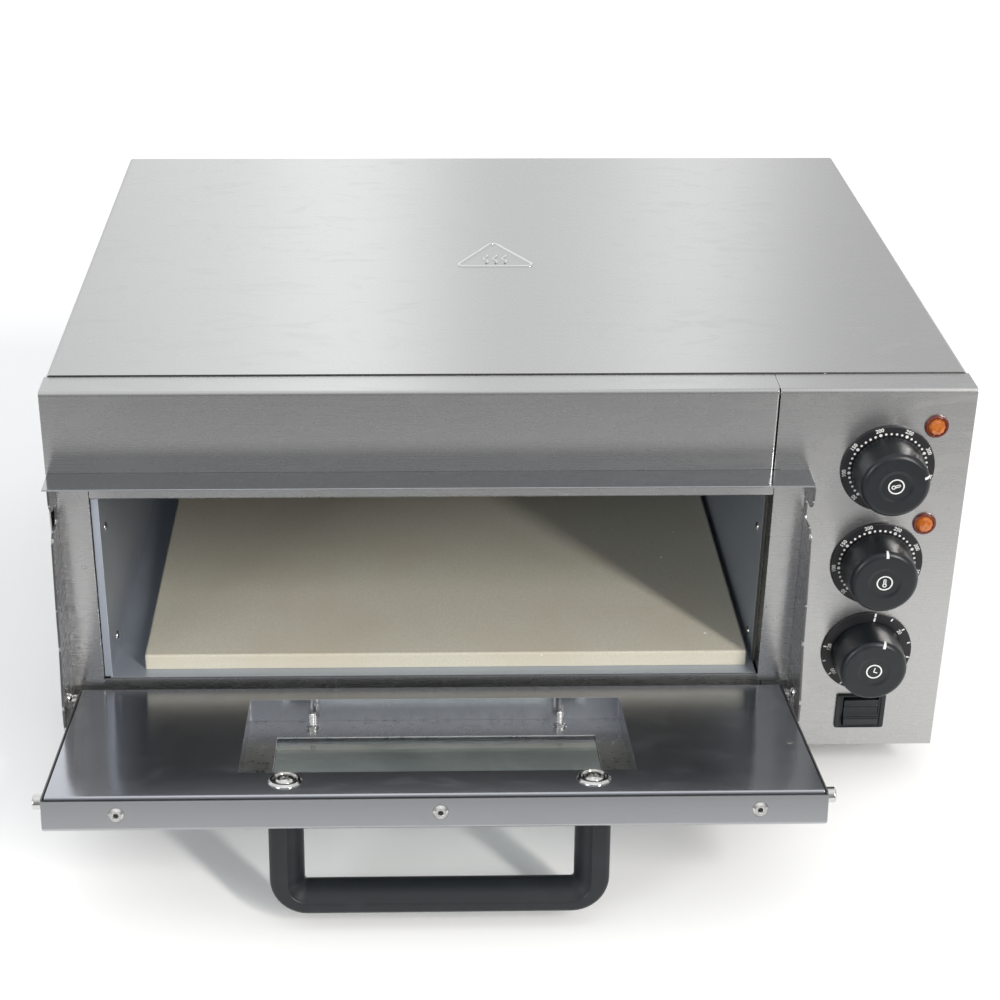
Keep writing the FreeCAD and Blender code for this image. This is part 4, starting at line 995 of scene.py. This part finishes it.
def edge_screws():
    """Small cap screws along the door's free edge, with a dark disc at the bottom of each socket as painted
    shade.
    """
    top = local_box("door_outer_pan", DOOR)[1].z
    heads, socket_shades = [], []
    for low, high, mid in islands("door_edge_screws", DOOR):
        radius, reach = (high.x - low.x) / 2, high.z - top
        outline = [(0, -0.3), (radius, -0.3), (radius, 0.2), (radius - 0.5, 0.8), (radius - 1.4, reach),
                   (1.9, reach), (1.35, reach - 0.5), (1.2, 0.2), (0, 0.1)]
        heads.append(moved(lathe(outline, 40), mid.x, mid.y, top))
        # painted shade: a dark disc fills the bottom of the socket
        socket_shades.append(moved(disc(0, 0, 1.22, 0.0, 0.25), mid.x, mid.y, top))
    show("edge_screw_heads", merged(*heads), "door", "bright_metal", DOOR, ("door_edge_screws",))
    show("edge_screw_socket_shades", merged(*socket_shades), "door", "bright_metal", DOOR,
         material=MATERIALS["printed_ring"])


def clamp_screws():
    """Studs with hexagon nuts that hold the glass frame in the recess."""
    seat = local_box("glass_retainer", DOOR)[1].y
    nut_top, pitch = 3.2, 0.7
    parts = []
    for _, high, mid in islands("glass_clamp_screws", DOOR):
        tip = high.y - seat
        washer = lathe(rounded([(1.8, 0, 0), (4.0, 0, 0.2), (4.0, 0.6, 0.2), (1.8, 0.6, 0)]), 36)
        nut = bevelled(lathe([(1.7, 0.6), (3.9, 0.6), (3.9, nut_top), (1.7, nut_top)], 6), 0.4)
        threads = [(0, -4.5), (1.8, -4.5)]
        height = nut_top - 0.2
        while height < tip - 0.6:
            threads += [(1.95, height), (1.6, height + pitch / 2)]
            height += pitch
        stud = lathe(threads + [(1.5, tip - 0.1), (1.2, tip), (0, tip)], 28)
        parts.append(moved(merged(washer, nut, stud), mid.x, seat, mid.z, turn=TO_BACK))
    show("glass_clamp_nuts", merged(*parts), "door", "bright_metal", DOOR, ("glass_clamp_screws",))


def latch_pins():
    """Polished pins with a round end that the cheeks' notches take, and a small rivet on the inner face."""
    parts = []
    thinnest_pin = 3
    for low, high, mid in islands("latch_pins", DOOR):
        radius = (high.z - low.z) / 2
        if radius < thinnest_pin:
            face = local_box("door_inner_panel", DOOR)[1].y
            parts.append(moved(dome(radius, high.y - face), mid.x, face, mid.z, turn=TO_BACK))
            continue
        outward = -1 if low.x < LEFT_HALF else 1
        plane = local_box("door_outer_pan", DOOR)[0 if outward < 0 else 1].x
        reach = plane - low.x if outward < 0 else high.x - plane
        outline = rounded([(0, -5, 0), (2.9, -5, 0), (2.9, -0.1, 0), (radius, 0, 0.2), (radius, reach, 1.2),
                           (0, reach, 0)], 5)
        parts.append(moved(lathe(outline, 48), plane, mid.y, mid.z, turn=to_side(outward)))
    show("latch_pins_turned", merged(*parts), "door", "bright_metal", DOOR, ("latch_pins",))


# ---- floor, light and camera ----

def floor():
    """A plain pale floor with painted shade: its colour darkens in front of the oven, where the light seems
    to fall off.
    """
    g = Graph("studio_floor", Roughness=0.9, Specular_IOR_Level=0.1)
    split = g.add("SeparateXYZ")
    g.links.new(g.place, split.inputs[0])
    # painted shade: the floor's colour goes dark towards the front
    painted_falloff = g.range(split.outputs["Y"], -0.72, -0.42, 1.0, 0.0)
    mottled = g.range(g.noise(5), 0.3, 0.7, 0.0, 0.02)
    pale = g.mix(mottled, (0.88, 0.88, 0.88, 1), (0.86, 0.86, 0.86, 1))
    g.put("Base Color", g.mix(painted_falloff, pale, (0.15, 0.15, 0.155, 1)))
    bm = bmesh.new()
    bmesh.ops.create_grid(bm, x_segments=24, y_segments=24, size=9.0)
    mesh = bpy.data.meshes.new("studio_floor")
    bm.to_mesh(mesh)
    bm.free()
    mesh.materials.append(g.material)
    placed("studio_floor", mesh)


def world():
    """Soft studio surroundings: tall bright panels behind the oven, dimmer to the right and in front."""
    surroundings = bpy.data.worlds.new("studio")
    bpy.context.scene.world = surroundings
    surroundings.use_nodes = True
    nodes, links = surroundings.node_tree.nodes, surroundings.node_tree.links
    split = nodes.new("ShaderNodeSeparateXYZ")
    links.new(nodes.new("ShaderNodeTexCoord").outputs["Generated"], split.inputs[0])

    def calc(operation, a, b=0.0):
        node = nodes.new("ShaderNodeMath")
        node.operation = operation
        for socket, value in zip(node.inputs, (a, b)):
            if isinstance(value, bpy.types.NodeSocket):
                links.new(value, socket)
            else:
                socket.default_value = value
        return node.outputs[0]

    def ramp(value, stops):
        """Brightness along a value, from (value, level) stops. Levels go up to 2."""
        low, high = stops[0][0], stops[-1][0]
        span = nodes.new("ShaderNodeMapRange")
        links.new(value, span.inputs[0])
        span.inputs[1].default_value = low
        span.inputs[2].default_value = high
        node = nodes.new("ShaderNodeValToRGB")
        node.color_ramp.interpolation = "EASE"
        links.new(span.outputs[0], node.inputs[0])
        elements = node.color_ramp.elements
        while len(elements) < len(stops):
            elements.new(0.5)
        for element, (position, level) in zip(elements, stops):
            element.position = (position - low) / (high - low)
            element.color = (level / 2,) * 3 + (1,)
        return calc("MULTIPLY", node.outputs[0], 2.0)

    behind = calc("MAXIMUM", split.outputs["Y"], 0.02)
    azimuth = calc("DIVIDE", split.outputs["X"], behind)
    panels = ramp(azimuth, [
        (-0.6, 1.10), (-0.20, 1.20), (-0.10, 1.46), (-0.03, 1.86), (0.055, 1.06), (0.10, 1.18), (0.155, 1.70),
        (0.24, 0.85), (0.30, 0.72), (0.6, 0.95)])
    front = ramp(split.outputs["Z"], [(-0.1, 0.34), (0.12, 0.36), (0.45, 0.46), (0.75, 0.95), (1.0, 1.3)])
    share = ramp(split.outputs["Y"], [(-0.3, 0.0), (0.45, 1.0)])
    level = calc("ADD", calc("MULTIPLY", panels, share),
                 calc("MULTIPLY", front, calc("SUBTRACT", 1.0, share)))
    colour = nodes.new("ShaderNodeCombineColor")
    for socket, tint in zip(colour.inputs, (0.99, 1.0, 1.01)):
        links.new(calc("MULTIPLY", level, tint), socket)
    links.new(colour.outputs[0], nodes["Background"].inputs["Color"])


def area_light(name, place, target, size, power, colour):
    data = bpy.data.lights.new(name, "AREA")
    data.shape = "RECTANGLE"
    data.size, data.size_y = size
    data.energy = power
    data.color = colour
    obj = placed(name, data)
    obj.location = place
    obj.rotation_euler = (Vector(target) - Vector(place)).to_track_quat("-Z", "Y").to_euler()
    obj.visible_camera = False


def lights():
    """A tall strip softbox far in front on the right, and a dim one on the left."""
    area_light("key_front_right", (2.85, -4.1, 2.6), (0.1, -0.1, 0.1), (0.45, 3.4), 300, (1, 0.97, 0.93))
    area_light("fill_front_left", (-3.0, -3.2, 1.3), (0.0, 0.0, 0.1), (1.6, 1.6), 75, (0.95, 0.98, 1.0))


def camera():
    """The camera that was fitted to the photo's edges: angles in radians, place in metres."""
    yaw, pitch, roll = 0.026617, 0.475162, 0.006485
    place = (-0.06368, -1.23528, 0.76321)
    look = Vector((math.sin(yaw) * math.cos(pitch), math.cos(yaw) * math.cos(pitch), -math.sin(pitch)))
    right = Vector((math.cos(yaw), -math.sin(yaw), 0))
    up = right.cross(look)
    right, up = (math.cos(roll) * right + math.sin(roll) * up,
                 -math.sin(roll) * right + math.cos(roll) * up)
    data = bpy.data.cameras.new("camera")
    data.lens, data.sensor_width = 71.8, 36.0
    data.shift_x = 0.0485
    data.clip_start, data.clip_end = 0.05, 50
    obj = placed("camera", data)
    obj.matrix_world = Matrix.Translation(place) @ Matrix((right, up, -look)).transposed().to_4x4()
    bpy.context.scene.camera = obj
    bpy.context.scene.view_settings.view_transform = "Standard"


# ---- the whole oven ----

for node_name, node_object in NODES.items():
    node_object.data.materials.clear()
    node_object.data.materials.append(MATERIALS[SLOT_OF[node_name]])

soften("top_cover", width=0.25, change=flatten_mark)
soften("front_panel", wide=beside_seam)
soften("control_panel", wide=beside_seam, wide_width=0.9)
soften("hood_ledge", material=LEDGE_STEEL)
for sheet in ("rear_panel", "kick_panel", "base_tray", "left_cheek", "right_cheek", "left_post", "right_post",
              "door_lintel", "chamber_floor", "chamber_left_wall", "chamber_right_wall", "chamber_back_wall",
              "chamber_ceiling", "partition", "door_outer_pan", "glass_retainer"):
    soften(sheet)
soften("door_inner_panel", material=DOOR_INNER_STEEL)
soften("window_glass", width=BLOCK_ROUNDING)
for block in ("upper_thermostat", "lower_thermostat", "timer_movement", "terminal_block", "element_holders",
              "thermostat_bulbs", "stop_pins"):
    soften(block, width=BLOCK_ROUNDING)
embossed_mark()
soften("baking_stone", width=BLOCK_ROUNDING)
rivets()
left_return()
weld_marks()
casing_screws()
feet()
gland()
hinges()
for control in ("upper", "lower", "timer"):
    dial(control)
lamps()
switch()
handle()
handle_screws()
edge_screws()
clamp_screws()
latch_pins()
floor()
world()
lights()
camera()
